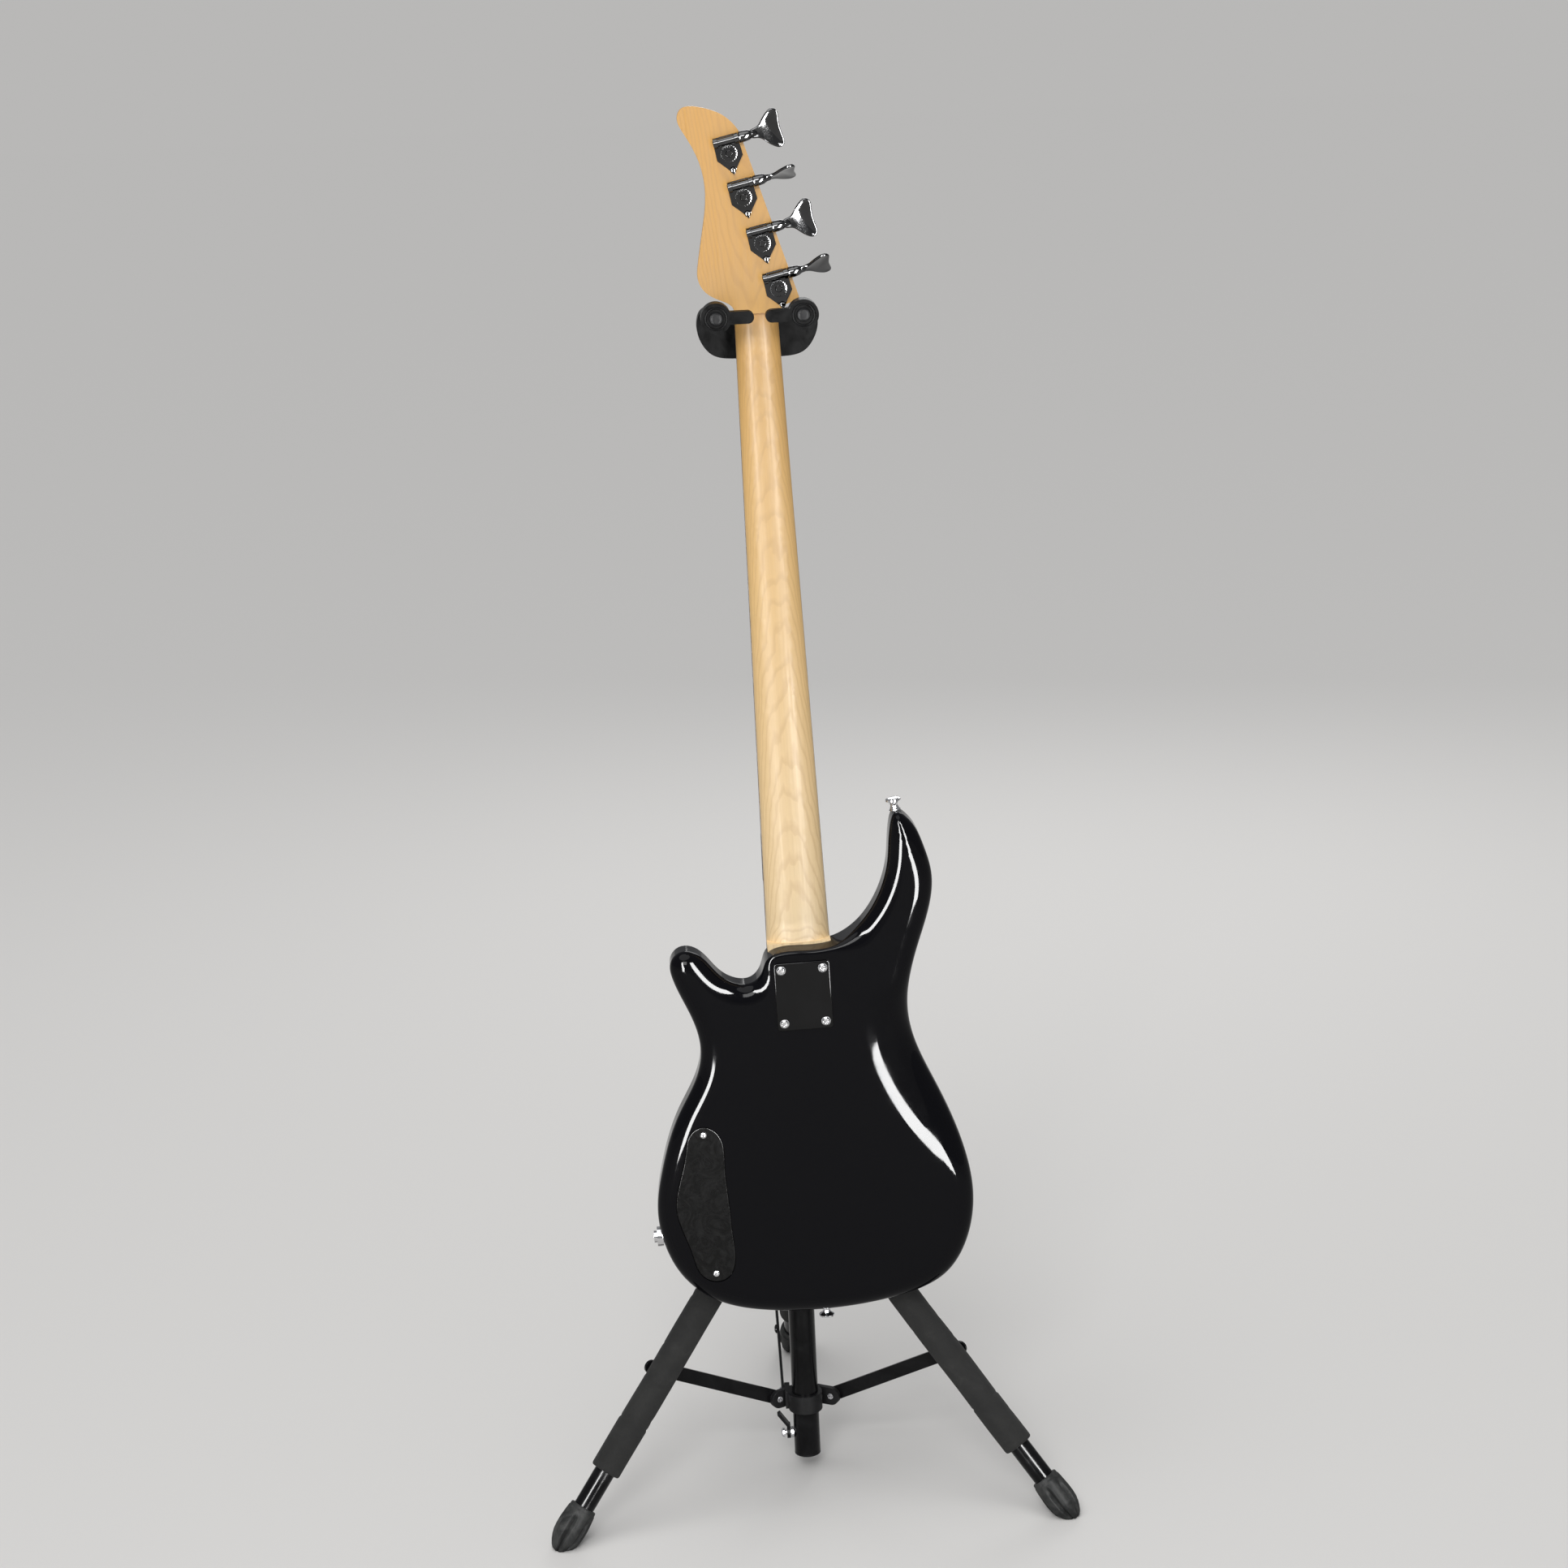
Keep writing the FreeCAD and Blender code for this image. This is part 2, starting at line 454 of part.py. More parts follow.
def bass_neck():
    top = BOARD_TOP - BOARD_T
    sections = [neck_section(NUT_W - 0.2, HEAD_BACK + 0.4, -9.0), neck_section(NUT_W, -11.0, 0.0),
                neck_section(NUT_W + 7.5, -12.5, 230.0), neck_section(HEEL_W - 1.5, -14.5, 560.0),
                neck_section(HEEL_W, -17.4, 575.0)]
    shaft = Part.makeLoft(sections, True, True)
    block = box(-HEEL_W / 2, HEEL_W / 2, -POCKET_DEPTH, top, -POCKET_END, -574.9)

    curve = Part.BSplineCurve()
    curve.interpolate([V(x, HEAD_BACK, z) for x, z in HEAD_OUTLINE])
    corner = V(39.1, HEAD_BACK, 8.5)
    flare = Part.BSplineCurve()
    flare.interpolate([V(36.5, HEAD_BACK, 7.0), V(27, HEAD_BACK, 6.0), V(19.1, HEAD_BACK, -1.0)])
    edges = [curve.toShape(), Part.makeLine(V(-4.2, HEAD_BACK, 155.7), corner),
             Part.makeLine(corner, V(36.5, HEAD_BACK, 7.0)), flare.toShape(),
             Part.makeLine(V(19.1, HEAD_BACK, -1.0), V(-19.1, HEAD_BACK, 0))]
    head = Part.Face(Part.Wire(edges)).extrude(V(0, HEAD_T, 0))
    neck = fuse([shaft, block, head])

    channel = box(-3.1, 3.1, -4.0, top + 1, -574.0, -20.0)
    neck = neck.cut(channel)
    for u, v in TUNER_AT:
        neck = neck.cut(cyl(6.0, V(v, HEAD_BACK - 5, -u), V(v, HEAD_BACK + HEAD_T + 5, -u)))
    for x in (-SCREW_X, SCREW_X):
        for dz in (-SCREW_Z, SCREW_Z):
            neck = neck.cut(cyl(2.2, V(x, -BODY_T, -PLATE_AT + dz), V(x, 0.5, -PLATE_AT + dz)))
    x, z = RETAINER_AT
    neck = neck.cut(cyl(1.4, V(x, -14, z), V(x, 5, z)))
    add("neck", neck.removeSplitter(), True)

    half0, half1 = NUT_W / 2, (NUT_W + (HEEL_W - NUT_W) * BOARD_END / 575.0) / 2
    corners = [V(-half0, top, -2.6), V(half0, top, -2.6),
               V(half1, top, -BOARD_END), V(-half1, top, -BOARD_END)]
    board = Part.Face(Part.makePolygon(corners + corners[:1])).extrude(V(0, BOARD_T, 0))
    fret_bars = []
    for n in range(1, FRETS + 1):
        u = SCALE * (1 - 2 ** (-n / 12.0))
        half = half0 + (half1 - half0) * u / BOARD_END - 0.6
        crown = cyl(1.25, V(-half, BOARD_TOP, -u), V(half, BOARD_TOP, -u))
        crown = crown.common(box(-60, 60, BOARD_TOP, BOARD_TOP + 5, -u - 3, -u + 3))
        tang = box(-half, half, BOARD_TOP - 2.0, BOARD_TOP, -u - 0.3, -u + 0.3)
        board = board.cut(tang)
        fret_bars.append(fuse([crown, tang]))
    add("fretboard", board, True)
    add("frets", fret_bars, True)
    add("truss_rod", box(-3.0, 3.0, -4.0, top, -573.0, -21.0), True)

    nut = box(-NUT_W / 2, NUT_W / 2, top, BOARD_TOP + 2.6, -2.6, 2.6)
    for string in range(4):
        radius = STRING_R[string]
        x = (1.5 - string) * NUT_SPREAD
        slot = radius + 0.7
        nut = nut.cut(cyl(slot, V(x, nut_height(string), -5), V(x, nut_height(string), 5)))
        nut = nut.cut(box(x - slot, x + slot, nut_height(string), 30, -5, 5))
    add("nut", nut, True)


def nut_height(string):
    return BOARD_TOP + 1.2 + STRING_R[string]


# ---------------------------------------------------------------- bass: hardware
def tuners():
    """Open-gear tuners: base plates with bushings, posts with gears, keys with worms."""
    tilt = math.radians(TUNER_TILT)
    out = V(math.cos(tilt), 0, math.sin(tilt))
    up = V(-math.sin(tilt), 0, math.cos(tilt))
    back = HEAD_BACK
    front = HEAD_BACK + HEAD_T
    bases = []
    for number, (u, v) in enumerate(TUNER_AT):
        centre = V(v, 0, -u)

        def at(along, above, depth, centre=centre):
            """A point by distance along the key shaft, towards the tip, and in depth."""
            return centre + out * along + up * above + V(0, depth, 0)

        shield = [at(-11, 15.5, back), at(11, 15.5, back), at(11.5, -4, back), at(4, -13, back),
                  at(0, -19, back), at(-4, -13, back), at(-11.5, -4, back)]
        plate = Part.Face(Part.makePolygon(shield + shield[:1])).extrude(V(0, -1.6, 0))
        plate = plate.fuse(cyl(5.95, at(0, 0, back), at(0, 0, front)))
        worm = (WORM_OFFSET, back - 6.2)
        for along in (-11.0, 7.6):
            lug = cyl(4.6, at(along, worm[0], worm[1]), at(along + 3.4, worm[0], worm[1]))
            low, high = worm[0] - 4.6, worm[0] + 4.6
            corners = [at(along, low, back - 1), at(along, high, back - 1), at(along, high, worm[1]),
                       at(along, low, worm[1])]
            base = Part.Face(Part.makePolygon(corners + corners[:1])).extrude(out * 3.4)
            plate = plate.fuse(lug).fuse(base)
        screw = revolve([(0, 2.8), (1.0, 2.4), (1.5, 1.4)], at(0, -14.5, back - 1.6), V(0, -1, 0))
        plate = plate.fuse(screw)
        plate = plate.cut(cyl(3.1 + RUN, at(-20, worm[0], worm[1]), at(30, worm[0], worm[1])))
        plate = plate.cut(cyl(4.5 + RUN, at(0, 0, back - 10), at(0, 0, front + 10)))
        bases.append(plate.removeSplitter())

        post = fuse([cyl(4.5, at(0, 0, back - 8.4), at(0, 0, front + 15)),
                     cyl(5.6, at(0, 0, front + 15), at(0, 0, front + 17.5))])
        post = post.cut(cyl(1.5, at(0, 0, front + 12), at(0, 0, front + 25)))
        gear = cyl(7.2, at(0, 0, back - 8.6), at(0, 0, back - 2.4))
        for tooth in range(20):
            angle = math.radians(18.0 * tooth)
            reach = out * (7.5 * math.cos(angle)) + up * (7.5 * math.sin(angle))
            gear = gear.cut(cyl(0.65, at(0, 0, back - 9) + reach, at(0, 0, back - 2) + reach))
        gear = gear.fuse(revolve([(0, 3.2), (1.2, 2.6)], at(0, 0, back - 8.6), V(0, -1, 0)))
        add("tuner_post_%d" % (number + 1), fuse([post, gear]), True)

        shaft = cyl(3.1, at(-11.5, worm[0], worm[1]), at(KEY_REACH - 12, worm[0], worm[1]))
        thread = cyl(3.45, at(-7.2, worm[0], worm[1]), at(7.2, worm[0], worm[1]))
        stem = revolve([(0, 4.6), (2, 4.9), (9, 4.4), (12, 3.0)], at(11.4, worm[0], worm[1]), out)
        key = clover(out, up, at(KEY_REACH - 12, worm[0], worm[1]))
        key = fuse([shaft, thread, stem, key])
        key.rotate(at(0, worm[0], worm[1]), out, KEY_TURN[number])
        add("tuner_key_%d" % (number + 1), key, True)
    add("tuner_bases", bases, True)


def clover(out, up, root):
    """The flat key: narrow at its stem, spreading to two rounded lobes."""
    shape = [(0, -3.2), (6, -4.2), (12, -9.5), (17, -15.6), (21.5, -16.2), (23.5, -12.5), (22.6, -5),
             (21.6, 0), (22.6, 5), (23.5, 12.5), (21.5, 16.2), (17, 15.6), (12, 9.5), (6, 4.2), (0, 3.2)]
    curve = Part.BSplineCurve()
    curve.interpolate([root + out * a + up * b - V(0, 1.3, 0) for a, b in shape])
    start, end = root + up * -3.2 - V(0, 1.3, 0), root + up * 3.2 - V(0, 1.3, 0)
    return Part.Face(Part.Wire([curve.toShape(), Part.makeLine(end, start)])).extrude(V(0, 2.6, 0))


def strings_and_bridge():
    saddles = []
    half = BRIDGE_W / 2
    plate = fuse([rounded_plate(BRIDGE_W, 46.0, 3.0, 0.0, 2.5, 0.0, -872.0),
                  box(-half, half, 0, 10.5, -897.5, -894.5)])
    strings = []
    posts = TUNER_AT[::-1]
    for string in range(4):
        radius = STRING_R[string]
        x0, x1 = (1.5 - string) * NUT_SPREAD, (1.5 - string) * BRIDGE_SPREAD
        height = nut_height(string)
        crest = SADDLE_TOP + radius
        block = box(x1 - 8.3, x1 + 8.3, 2.5, SADDLE_TOP - 2, -882.0, -857.0)
        ridge = cyl(4.0, V(x1 - 8.3, SADDLE_TOP - 4, -SCALE), V(x1 + 8.3, SADDLE_TOP - 4, -SCALE))
        saddle = fuse([block, ridge])
        plate = plate.cut(cyl(radius + 0.6, V(x1, 6.5, -900), V(x1, 6.5, -890)))
        post_u, post_v = posts[string]
        post = V(post_v - 4.5 - radius - 0.35, HEAD_BACK + HEAD_T + 7.5, -post_u)
        route = [post, V(x0, height, 0), V(x1, crest, -SCALE), V(x1, 6.5, -893.0), V(x1, 6.5, -899.5)]
        runs = [cyl(radius, a, b) for a, b in zip(route[:-1], route[1:])]
        joints = [Part.makeSphere(radius, p) for p in route[1:-1]]
        wrap_start = V(post_v, post.y - 2.2 * radius, -post_u)
        wrap = ring(4.8 + 2 * radius, 4.8, wrap_start, V(post_v, post.y + radius, -post_u))
        ball = cyl(3.0, V(x1, 6.5, -901.5), V(x1, 6.5, -897.8))
        saddle = saddle.cut(cyl(radius + 0.02, route[2], route[3]))
        saddle = saddle.cut(cyl(radius + 0.02, route[1], route[2]))
        saddles.append(saddle)
        strings.append(fuse(runs + joints + [wrap, ball]))
    add("bridge_plate", plate, True)
    add("bridge_saddles", saddles, True)
    add("strings", strings, True)
    x, z = RETAINER_AT
    front = HEAD_BACK + HEAD_T
    shank = cyl(1.4, V(x, front - 10, z), V(x, front + 2, z))
    head = revolve([(0, 5.0), (1.5, 5.0), (3.0, 3.0)], V(x, front, z), V(0, 1, 0))
    add("string_retainer", fuse([shank, head]), True)


def fittings():
    """Neck plate, control cover, strap buttons, jack, pickups, controls and their screws."""
    back = -BODY_T
    plate = rounded_plate(PLATE_W, PLATE_L, 3.0, back - 2.0, back, 0.0, -PLATE_AT)
    screws = []
    for x in (-SCREW_X, SCREW_X):
        for dz in (-SCREW_Z, SCREW_Z):
            place = V(x, back - 2.0, -PLATE_AT + dz)
            plate = plate.cut(cyl(2.2, place + V(0, -1, 0), place + V(0, 3, 0)))
            head = revolve([(0, 4.3), (0.8, 4.2), (2.2, 2.6)], place, V(0, -1, 0))
            slot = fuse([box(x - 2.4, x + 2.4, back - 5.0, back - 3.2, place.z - 0.45, place.z + 0.45),
                         box(x - 0.45, x + 0.45, back - 5.0, back - 3.2, place.z - 2.4, place.z + 2.4)])
            screws.append(fuse([head, cyl(2.2, place, place + V(0, 42.0, 0))]).cut(slot))
    add("neck_plate", plate, True)
    add("neck_screws", screws, True)

    cover = spline_face(cover_outline(0.15), back).extrude(V(0, 2.5, 0))
    cover_screws = []
    for x, z in COVER_SCREWS:
        cover = cover.cut(cyl(1.5, V(x, back - 1, z), V(x, back + 4, z)))
        head = revolve([(0, 3.0), (0.7, 2.8), (1.4, 1.6)], V(x, back, z), V(0, -1, 0))
        slot = box(x - 2.0, x + 2.0, back - 3, back - 0.7, z - 0.35, z + 0.35)
        cover_screws.append(fuse([head, cyl(1.5, V(x, back, z), V(x, back + 12, z))]).cut(slot))
    add("control_cover", cover, True)
    add("cover_screws", cover_screws, True)

    buttons = []
    for place, out in STRAP_BUTTONS:
        button = revolve([(0.3, 5.5), (1.4, 4.4), (4.5, 3.4), (7.0, 4.4), (9.0, 7.2), (10.6, 7.0),
                          (11.4, 5.0)], place, out)
        buttons.append(fuse([button, cyl(2.0, place - out * 14, place + out * 5)]))
    add("strap_buttons", buttons, True)

    jack_profile = [(-26, 6.5), (-4.2, 6.5), (-4.2, 9.3), (1.4, 9.3), (1.4, 5.6), (4.4, 5.6)]
    jack = revolve(jack_profile, JACK_AT, V(-1, 0, 0))
    jack = jack.cut(cyl(3.2, JACK_AT + V(-10, 0, 0), JACK_AT + V(22, 0, 0)))
    add("output_jack", jack, True)

    covers = []
    for u in PICKUP_AT:
        cover = rounded_plate(94.4, 20.4, 4.0, -14.0, 8.0, 3.0, -u)
        covers.append(cover.makeFillet(1.5, [e for e in cover.Edges if abs(e.BoundBox.YMin - 8.0) < 1e-6
                                             and abs(e.BoundBox.YMax - 8.0) < 1e-6]))
    add("pickups", covers, True)

    pots = []
    for number, (u, v) in enumerate(KNOB_AT):
        ceiling = -BODY_T - 1 + 32.0
        can = cyl(11.8, V(v, ceiling - 9, -u), V(v, ceiling, -u))
        bush = cyl(4.0, V(v, ceiling, -u), V(v, 3.0, -u))
        nut = cyl(6.2, V(v, 0, -u), V(v, 2.4, -u))
        pots.append(fuse([can, bush, nut]).cut(cyl(3.0 + RUN, V(v, ceiling - 6, -u), V(v, 10, -u))))
        knob = revolve([(3.4, 9.5), (4.4, 9.7), (14.5, 8.6), (16.0, 7.6)], V(v, 0, -u), V(0, 1, 0))
        knob = knob.fuse(cyl(3.0, V(v, ceiling - 5, -u), V(v, 4, -u)))
        knob = knob.cut(box(v - 0.5, v + 0.5, 15.2, 20, -u, -u + 9))
        add("control_knob_%d" % (number + 1), knob, True)
    add("potentiometers", pots, True)


# ---------------------------------------------------------------- the whole object
lower_tube()
collar()
braces()
hub()
legs()
mast()
yoke()
bass_body()
bass_neck()
tuners()
strings_and_bridge()
fittings()

whole = Part.makeCompound(list(nodes.values())).optimalBoundingBox(False)
SHIFT = V(-(whole.XMin + whole.XMax) / 2, -(whole.YMin + whole.YMax) / 2, 0)

os.makedirs("parts", exist_ok=True)
for node_name, node_shape in nodes.items():
    placed = node_shape.copy()
    placed.translate(SHIFT)
    placed.exportStep("parts/" + node_name + ".step")
    bad = "" if placed.isValid() else "  INVALID"
    print("%-22s solids %2d  volume %10.1f%s" % (node_name, len(placed.Solids), placed.Volume, bad))
print("nodes", len(nodes), "box", whole, "shift", SHIFT)
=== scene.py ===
import math
import json

import bpy
import numpy as np
from mathutils import Matrix, Vector
from mathutils.geometry import delaunay_2d_cdt


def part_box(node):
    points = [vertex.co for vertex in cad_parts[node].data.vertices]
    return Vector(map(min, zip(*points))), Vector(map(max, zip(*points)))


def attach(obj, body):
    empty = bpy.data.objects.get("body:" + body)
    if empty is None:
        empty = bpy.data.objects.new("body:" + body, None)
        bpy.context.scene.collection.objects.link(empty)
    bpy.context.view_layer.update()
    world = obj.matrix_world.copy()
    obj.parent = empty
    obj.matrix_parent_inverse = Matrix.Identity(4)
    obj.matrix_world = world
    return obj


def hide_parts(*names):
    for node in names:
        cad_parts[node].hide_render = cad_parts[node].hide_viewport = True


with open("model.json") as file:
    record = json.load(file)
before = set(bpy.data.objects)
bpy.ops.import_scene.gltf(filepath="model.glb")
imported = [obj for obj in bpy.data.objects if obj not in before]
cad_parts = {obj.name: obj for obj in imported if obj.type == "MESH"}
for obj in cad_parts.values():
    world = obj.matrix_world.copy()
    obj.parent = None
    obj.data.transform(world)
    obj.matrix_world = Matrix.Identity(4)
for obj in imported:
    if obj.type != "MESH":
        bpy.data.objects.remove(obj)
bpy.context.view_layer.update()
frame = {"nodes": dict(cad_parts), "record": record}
NODES = frame["nodes"]

# A four-string bass hanging by its headstock in a folding tripod stand.
# Lengths are in millimetres until a point is placed in the frame, which is in metres.
MM = 0.001

# ---------------------------------------------------------------- the frame's own places


def centre(node):
    low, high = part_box(node)
    return (low + high) / 2


POLE = Vector((centre("base_tube").x, centre("base_tube").y, 0))
LEAN, TILT = math.radians(1.05), math.radians(1.19)
HANG = Vector((-1.24, -48.84, 1136.7))         # the nut, in the plane of the body's front, from the pole
turn = Matrix.Rotation(-LEAN, 3, "X") @ Matrix.Rotation(-TILT, 3, "Y")
BASS = Matrix.Translation(POLE + HANG * MM) @ turn.to_4x4()
# bass axes: x across (thick strings at +x), y towards the strings, z = minus the distance from the nut


def on_bass(x, y, z):
    return BASS @ (Vector((x, y, z)) * MM)


LEG_AZIMUTHS = {"left": -60.0, "right": 60.0, "rear": 180.0}
HUB_R, HUB_Z, LEG_SPLAY = 30.0, 293.9, math.radians(40.5)
FOAM_START, FOAM_END, FOAM_R = 40.0, 303.0, 14.9
FOOT_START = 341.0


def leg_frame(side):
    """A leg's own axes at rest: z down along the leg from its pivot, x across, y up out of the leg."""
    azimuth = math.radians(LEG_AZIMUTHS[side] - 180.0)
    outward = Vector((-math.sin(azimuth), math.cos(azimuth), 0))
    across = Vector((math.cos(azimuth), math.sin(azimuth), 0))
    down = outward * math.sin(LEG_SPLAY) - Vector((0, 0, math.cos(LEG_SPLAY)))
    up = down.cross(across)
    place = POLE + (outward * HUB_R + Vector((0, 0, HUB_Z))) * MM
    return Matrix.Translation(place) @ Matrix((across, up, down)).transposed().to_4x4()


# ---------------------------------------------------------------- camera, light, floor
CAMERA_AT = Vector((-0.10465, -2.85408, 1.4240))       # from the pole
CAMERA_AIM = Vector((0.03770, 0.96807, -0.24784))
CAMERA_ROLL = math.radians(-2.61)
CAMERA_LENS, SENSOR_WIDTH = 72.67, 36.0
VIEW_REACH = 1000.0                                    # the camera draws as far as this, past the floor's edge


def camera():
    data = bpy.data.cameras.new("camera")
    data.lens, data.sensor_width = CAMERA_LENS, SENSOR_WIDTH
    data.clip_end = VIEW_REACH
    made = bpy.data.objects.new("camera", data)
    bpy.context.scene.collection.objects.link(made)
    right = CAMERA_AIM.cross(Vector((0, 0, 1))).normalized()
    up = right.cross(CAMERA_AIM)
    rolled = right * math.cos(CAMERA_ROLL) + up * math.sin(CAMERA_ROLL)
    rolled_up = up * math.cos(CAMERA_ROLL) - right * math.sin(CAMERA_ROLL)
    axes = Matrix((rolled, rolled_up, -CAMERA_AIM)).transposed().to_4x4()
    made.matrix_world = Matrix.Translation(POLE + CAMERA_AT) @ axes
    bpy.context.scene.camera = made


def softbox(name, place, width, height, power, target):
    """A rectangular light that faces its target."""
    light = bpy.data.lights.new(name, "AREA")
    light.shape, light.size, light.size_y, light.energy = "RECTANGLE", width, height, power
    made = bpy.data.objects.new(name, light)
    bpy.context.scene.collection.objects.link(made)
    made.location = place
    made.rotation_euler = (target - Vector(place)).to_track_quat("-Z", "Y").to_euler()


SOFTBOX_AIM, STRIP_AIM = Vector((0, 0, 0.6)), Vector((0.02, -0.15, 0.86))
SOFTBOXES = [("softbox_key", (-0.5, -3.3, 2.5), 1.4, 1.0, 56), ("softbox_back", (0.6, 2.4, 1.9), 1.4, 1.2, 14)]
# tall strips either side of the camera, for the highlights on lacquer and plating
STRIPS = [("strip_left", (-0.82, -1.72, 0.86), 0.34), ("strip_right", (0.72, -1.76, 0.86), 0.40)]
STRIP_HEIGHT, STRIP_BRIGHTNESS = 1.66, 100.0           # metres, and radiance
SUN_POWER, SUN_ANGLE, SUN_AIM = 1.5, math.radians(55), Vector((0.30, 0.55, -1.9))
SKY_COLOUR, SKY_STRENGTH = (0.82, 0.83, 0.85, 1), 0.34
# the floor is flat out to its first radius, then rises gently to its second, so that it fills the view
FLOOR_FLAT, FLOOR_R, FLOOR_RISE, FLOOR_SIDES = 30.0, 300.0, 4.5, 96


def studio():
    bpy.context.scene.view_settings.view_transform = "Standard"
    world = bpy.data.worlds.new("studio")
    bpy.context.scene.world = world
    world.use_nodes = True
    background = world.node_tree.nodes["Background"]
    background.inputs["Color"].default_value = SKY_COLOUR
    background.inputs["Strength"].default_value = SKY_STRENGTH
    for name, place, width, height, power in SOFTBOXES:
        softbox(name, place, width, height, power, SOFTBOX_AIM)
    for name, place, width in STRIPS:
        power = STRIP_BRIGHTNESS * math.pi * width * STRIP_HEIGHT
        softbox(name, place, width, STRIP_HEIGHT, power, STRIP_AIM)
        bpy.data.objects[name].visible_diffuse = False
    sun = bpy.data.objects.new("overhead", bpy.data.lights.new("overhead", "SUN"))
    sun.data.energy, sun.data.angle = SUN_POWER, SUN_ANGLE
    sun.rotation_euler = SUN_AIM.to_track_quat("-Z", "Y").to_euler()
    bpy.context.scene.collection.objects.link(sun)

    sides = FLOOR_SIDES
    turns = [2 * math.pi * i / sides for i in range(sides)]
    rims = ((FLOOR_FLAT, 0), (FLOOR_R, FLOOR_RISE))
    points = [(r * math.cos(a), r * math.sin(a), z) for r, z in rims for a in turns]
    faces = [tuple(range(sides))]
    faces += [(i, sides + i, sides + (i + 1) % sides, (i + 1) % sides) for i in range(sides)]
    mesh = bpy.data.meshes.new("floor")
    mesh.from_pydata(points, [], faces)
    floor = bpy.data.objects.new("floor", mesh)
    bpy.context.scene.collection.objects.link(floor)
    paint = Paint("floor_paint", (0.66, 0.65, 0.635), roughness=0.9, Specular_IOR_Level=0.0)
    floor.data.materials.append(paint.material)


# ---------------------------------------------------------------- materials
class Paint:
    """A procedural material: nodes added to a Principled shader in the object's own coordinates."""

    def __init__(self, name, colour, roughness=0.5, metallic=0.0, **sockets):
        self.material = bpy.data.materials.new(name)
        self.material.use_nodes = True
        self.tree = self.material.node_tree
        self.shader = self.tree.nodes["Principled BSDF"]
        self.set(self.shader, **{"Base Color": (*colour, 1), "Roughness": roughness, "Metallic": metallic})
        self.set(self.shader, **sockets)
        self.place = self.tree.nodes.new("ShaderNodeTexCoord").outputs["Object"]
        self.bumped = None

    def set(self, node, **sockets):
        for name, value in sockets.items():
            node.inputs[name.replace("_", " ")].default_value = value

    def node(self, kind, **sockets):
        made = self.tree.nodes.new("ShaderNode" + kind)
        self.set(made, **sockets)
        return made

    def link(self, source, target):
        self.tree.links.new(source, target)

    def mapped(self, matrix, scale=(1, 1, 1)):
        """Coordinates in another frame: matrix takes the frame's points to the world."""
        mapping = self.node("Mapping")
        inverse = matrix.inverted()
        mapping.inputs["Location"].default_value = inverse.translation
        mapping.inputs["Rotation"].default_value = inverse.to_euler()
        self.link(self.place, mapping.inputs["Vector"])
        stretch = self.node("Mapping")
        stretch.inputs["Scale"].default_value = scale
        self.link(mapping.outputs["Vector"], stretch.inputs["Vector"])
        return stretch.outputs["Vector"]

    def noise(self, scale, detail=3.0, roughness=0.55, distortion=0.0, place=None):
        made = self.node("TexNoise", Scale=scale, Detail=detail, Roughness=roughness, Distortion=distortion)
        self.link(place or self.place, made.inputs["Vector"])
        return made.outputs["Fac"]

    def ramp(self, value, *stops):
        made = self.node("ValToRGB")
        elements = made.color_ramp.elements
        while len(elements) < len(stops):
            elements.new(0.5)
        for element, (position, colour) in zip(elements, stops):
            element.position = position
            shade = colour if isinstance(colour, tuple) else (colour,) * 3
            element.color = (*shade, 1)
        self.link(value, made.inputs["Fac"])
        return made.outputs["Color"]

    def mix(self, share, a, b):
        made = self.tree.nodes.new("ShaderNodeMix")
        made.data_type = "RGBA"
        for value, socket in ((share, 0), (a, 6), (b, 7)):
            if isinstance(value, (int, float)):
                made.inputs[socket].default_value = value
            elif isinstance(value, tuple):
                made.inputs[socket].default_value = (*value, 1)
            else:
                self.link(value, made.inputs[socket])
        return made.outputs[2]

    def math(self, kind, a, b=0.0):
        made = self.tree.nodes.new("ShaderNodeMath")
        made.operation = kind
        for socket, value in enumerate((a, b)):
            if isinstance(value, (int, float)):
                made.inputs[socket].default_value = value
            else:
                self.link(value, made.inputs[socket])
        return made.outputs[0]

    def colour(self, source):
        self.link(source, self.shader.inputs["Base Color"])

    def roughness(self, value, low, high, start=0.3, end=0.7):
        self.link(self.ramp(value, (start, low), (end, high)), self.shader.inputs["Roughness"])

    def bump(self, height, strength, distance):
        made = self.node("Bump", Strength=strength, Distance=distance)
        self.link(height, made.inputs["Height"])
        if self.bumped:
            self.link(self.bumped, made.inputs["Normal"])
        self.bumped = made.outputs["Normal"]
        self.link(self.bumped, self.shader.inputs["Normal"])


def lacquer():
    """Thick black polyester, polished: faint haze, hairline swirls and dust."""
    paint = Paint("black_lacquer", (0.0016, 0.0016, 0.0019), 0.05, Specular_IOR_Level=0.11)
    haze = paint.noise(38.0, 4.0, 0.6)
    swirls = paint.noise(9.0, 6.0, 0.7, 2.6)
    paint.roughness(paint.math("MULTIPLY", haze, swirls), 0.035, 0.10, 0.15, 0.42)
    dust = paint.noise(2600.0, 1.0)
    tint = paint.ramp(dust, (0.70, (0.0030, 0.0030, 0.0042)), (0.80, (0.012, 0.012, 0.014)))
    paint.colour(tint)
    paint.bump(paint.noise(95.0, 2.0), 0.02, 0.0006)
    return paint.material


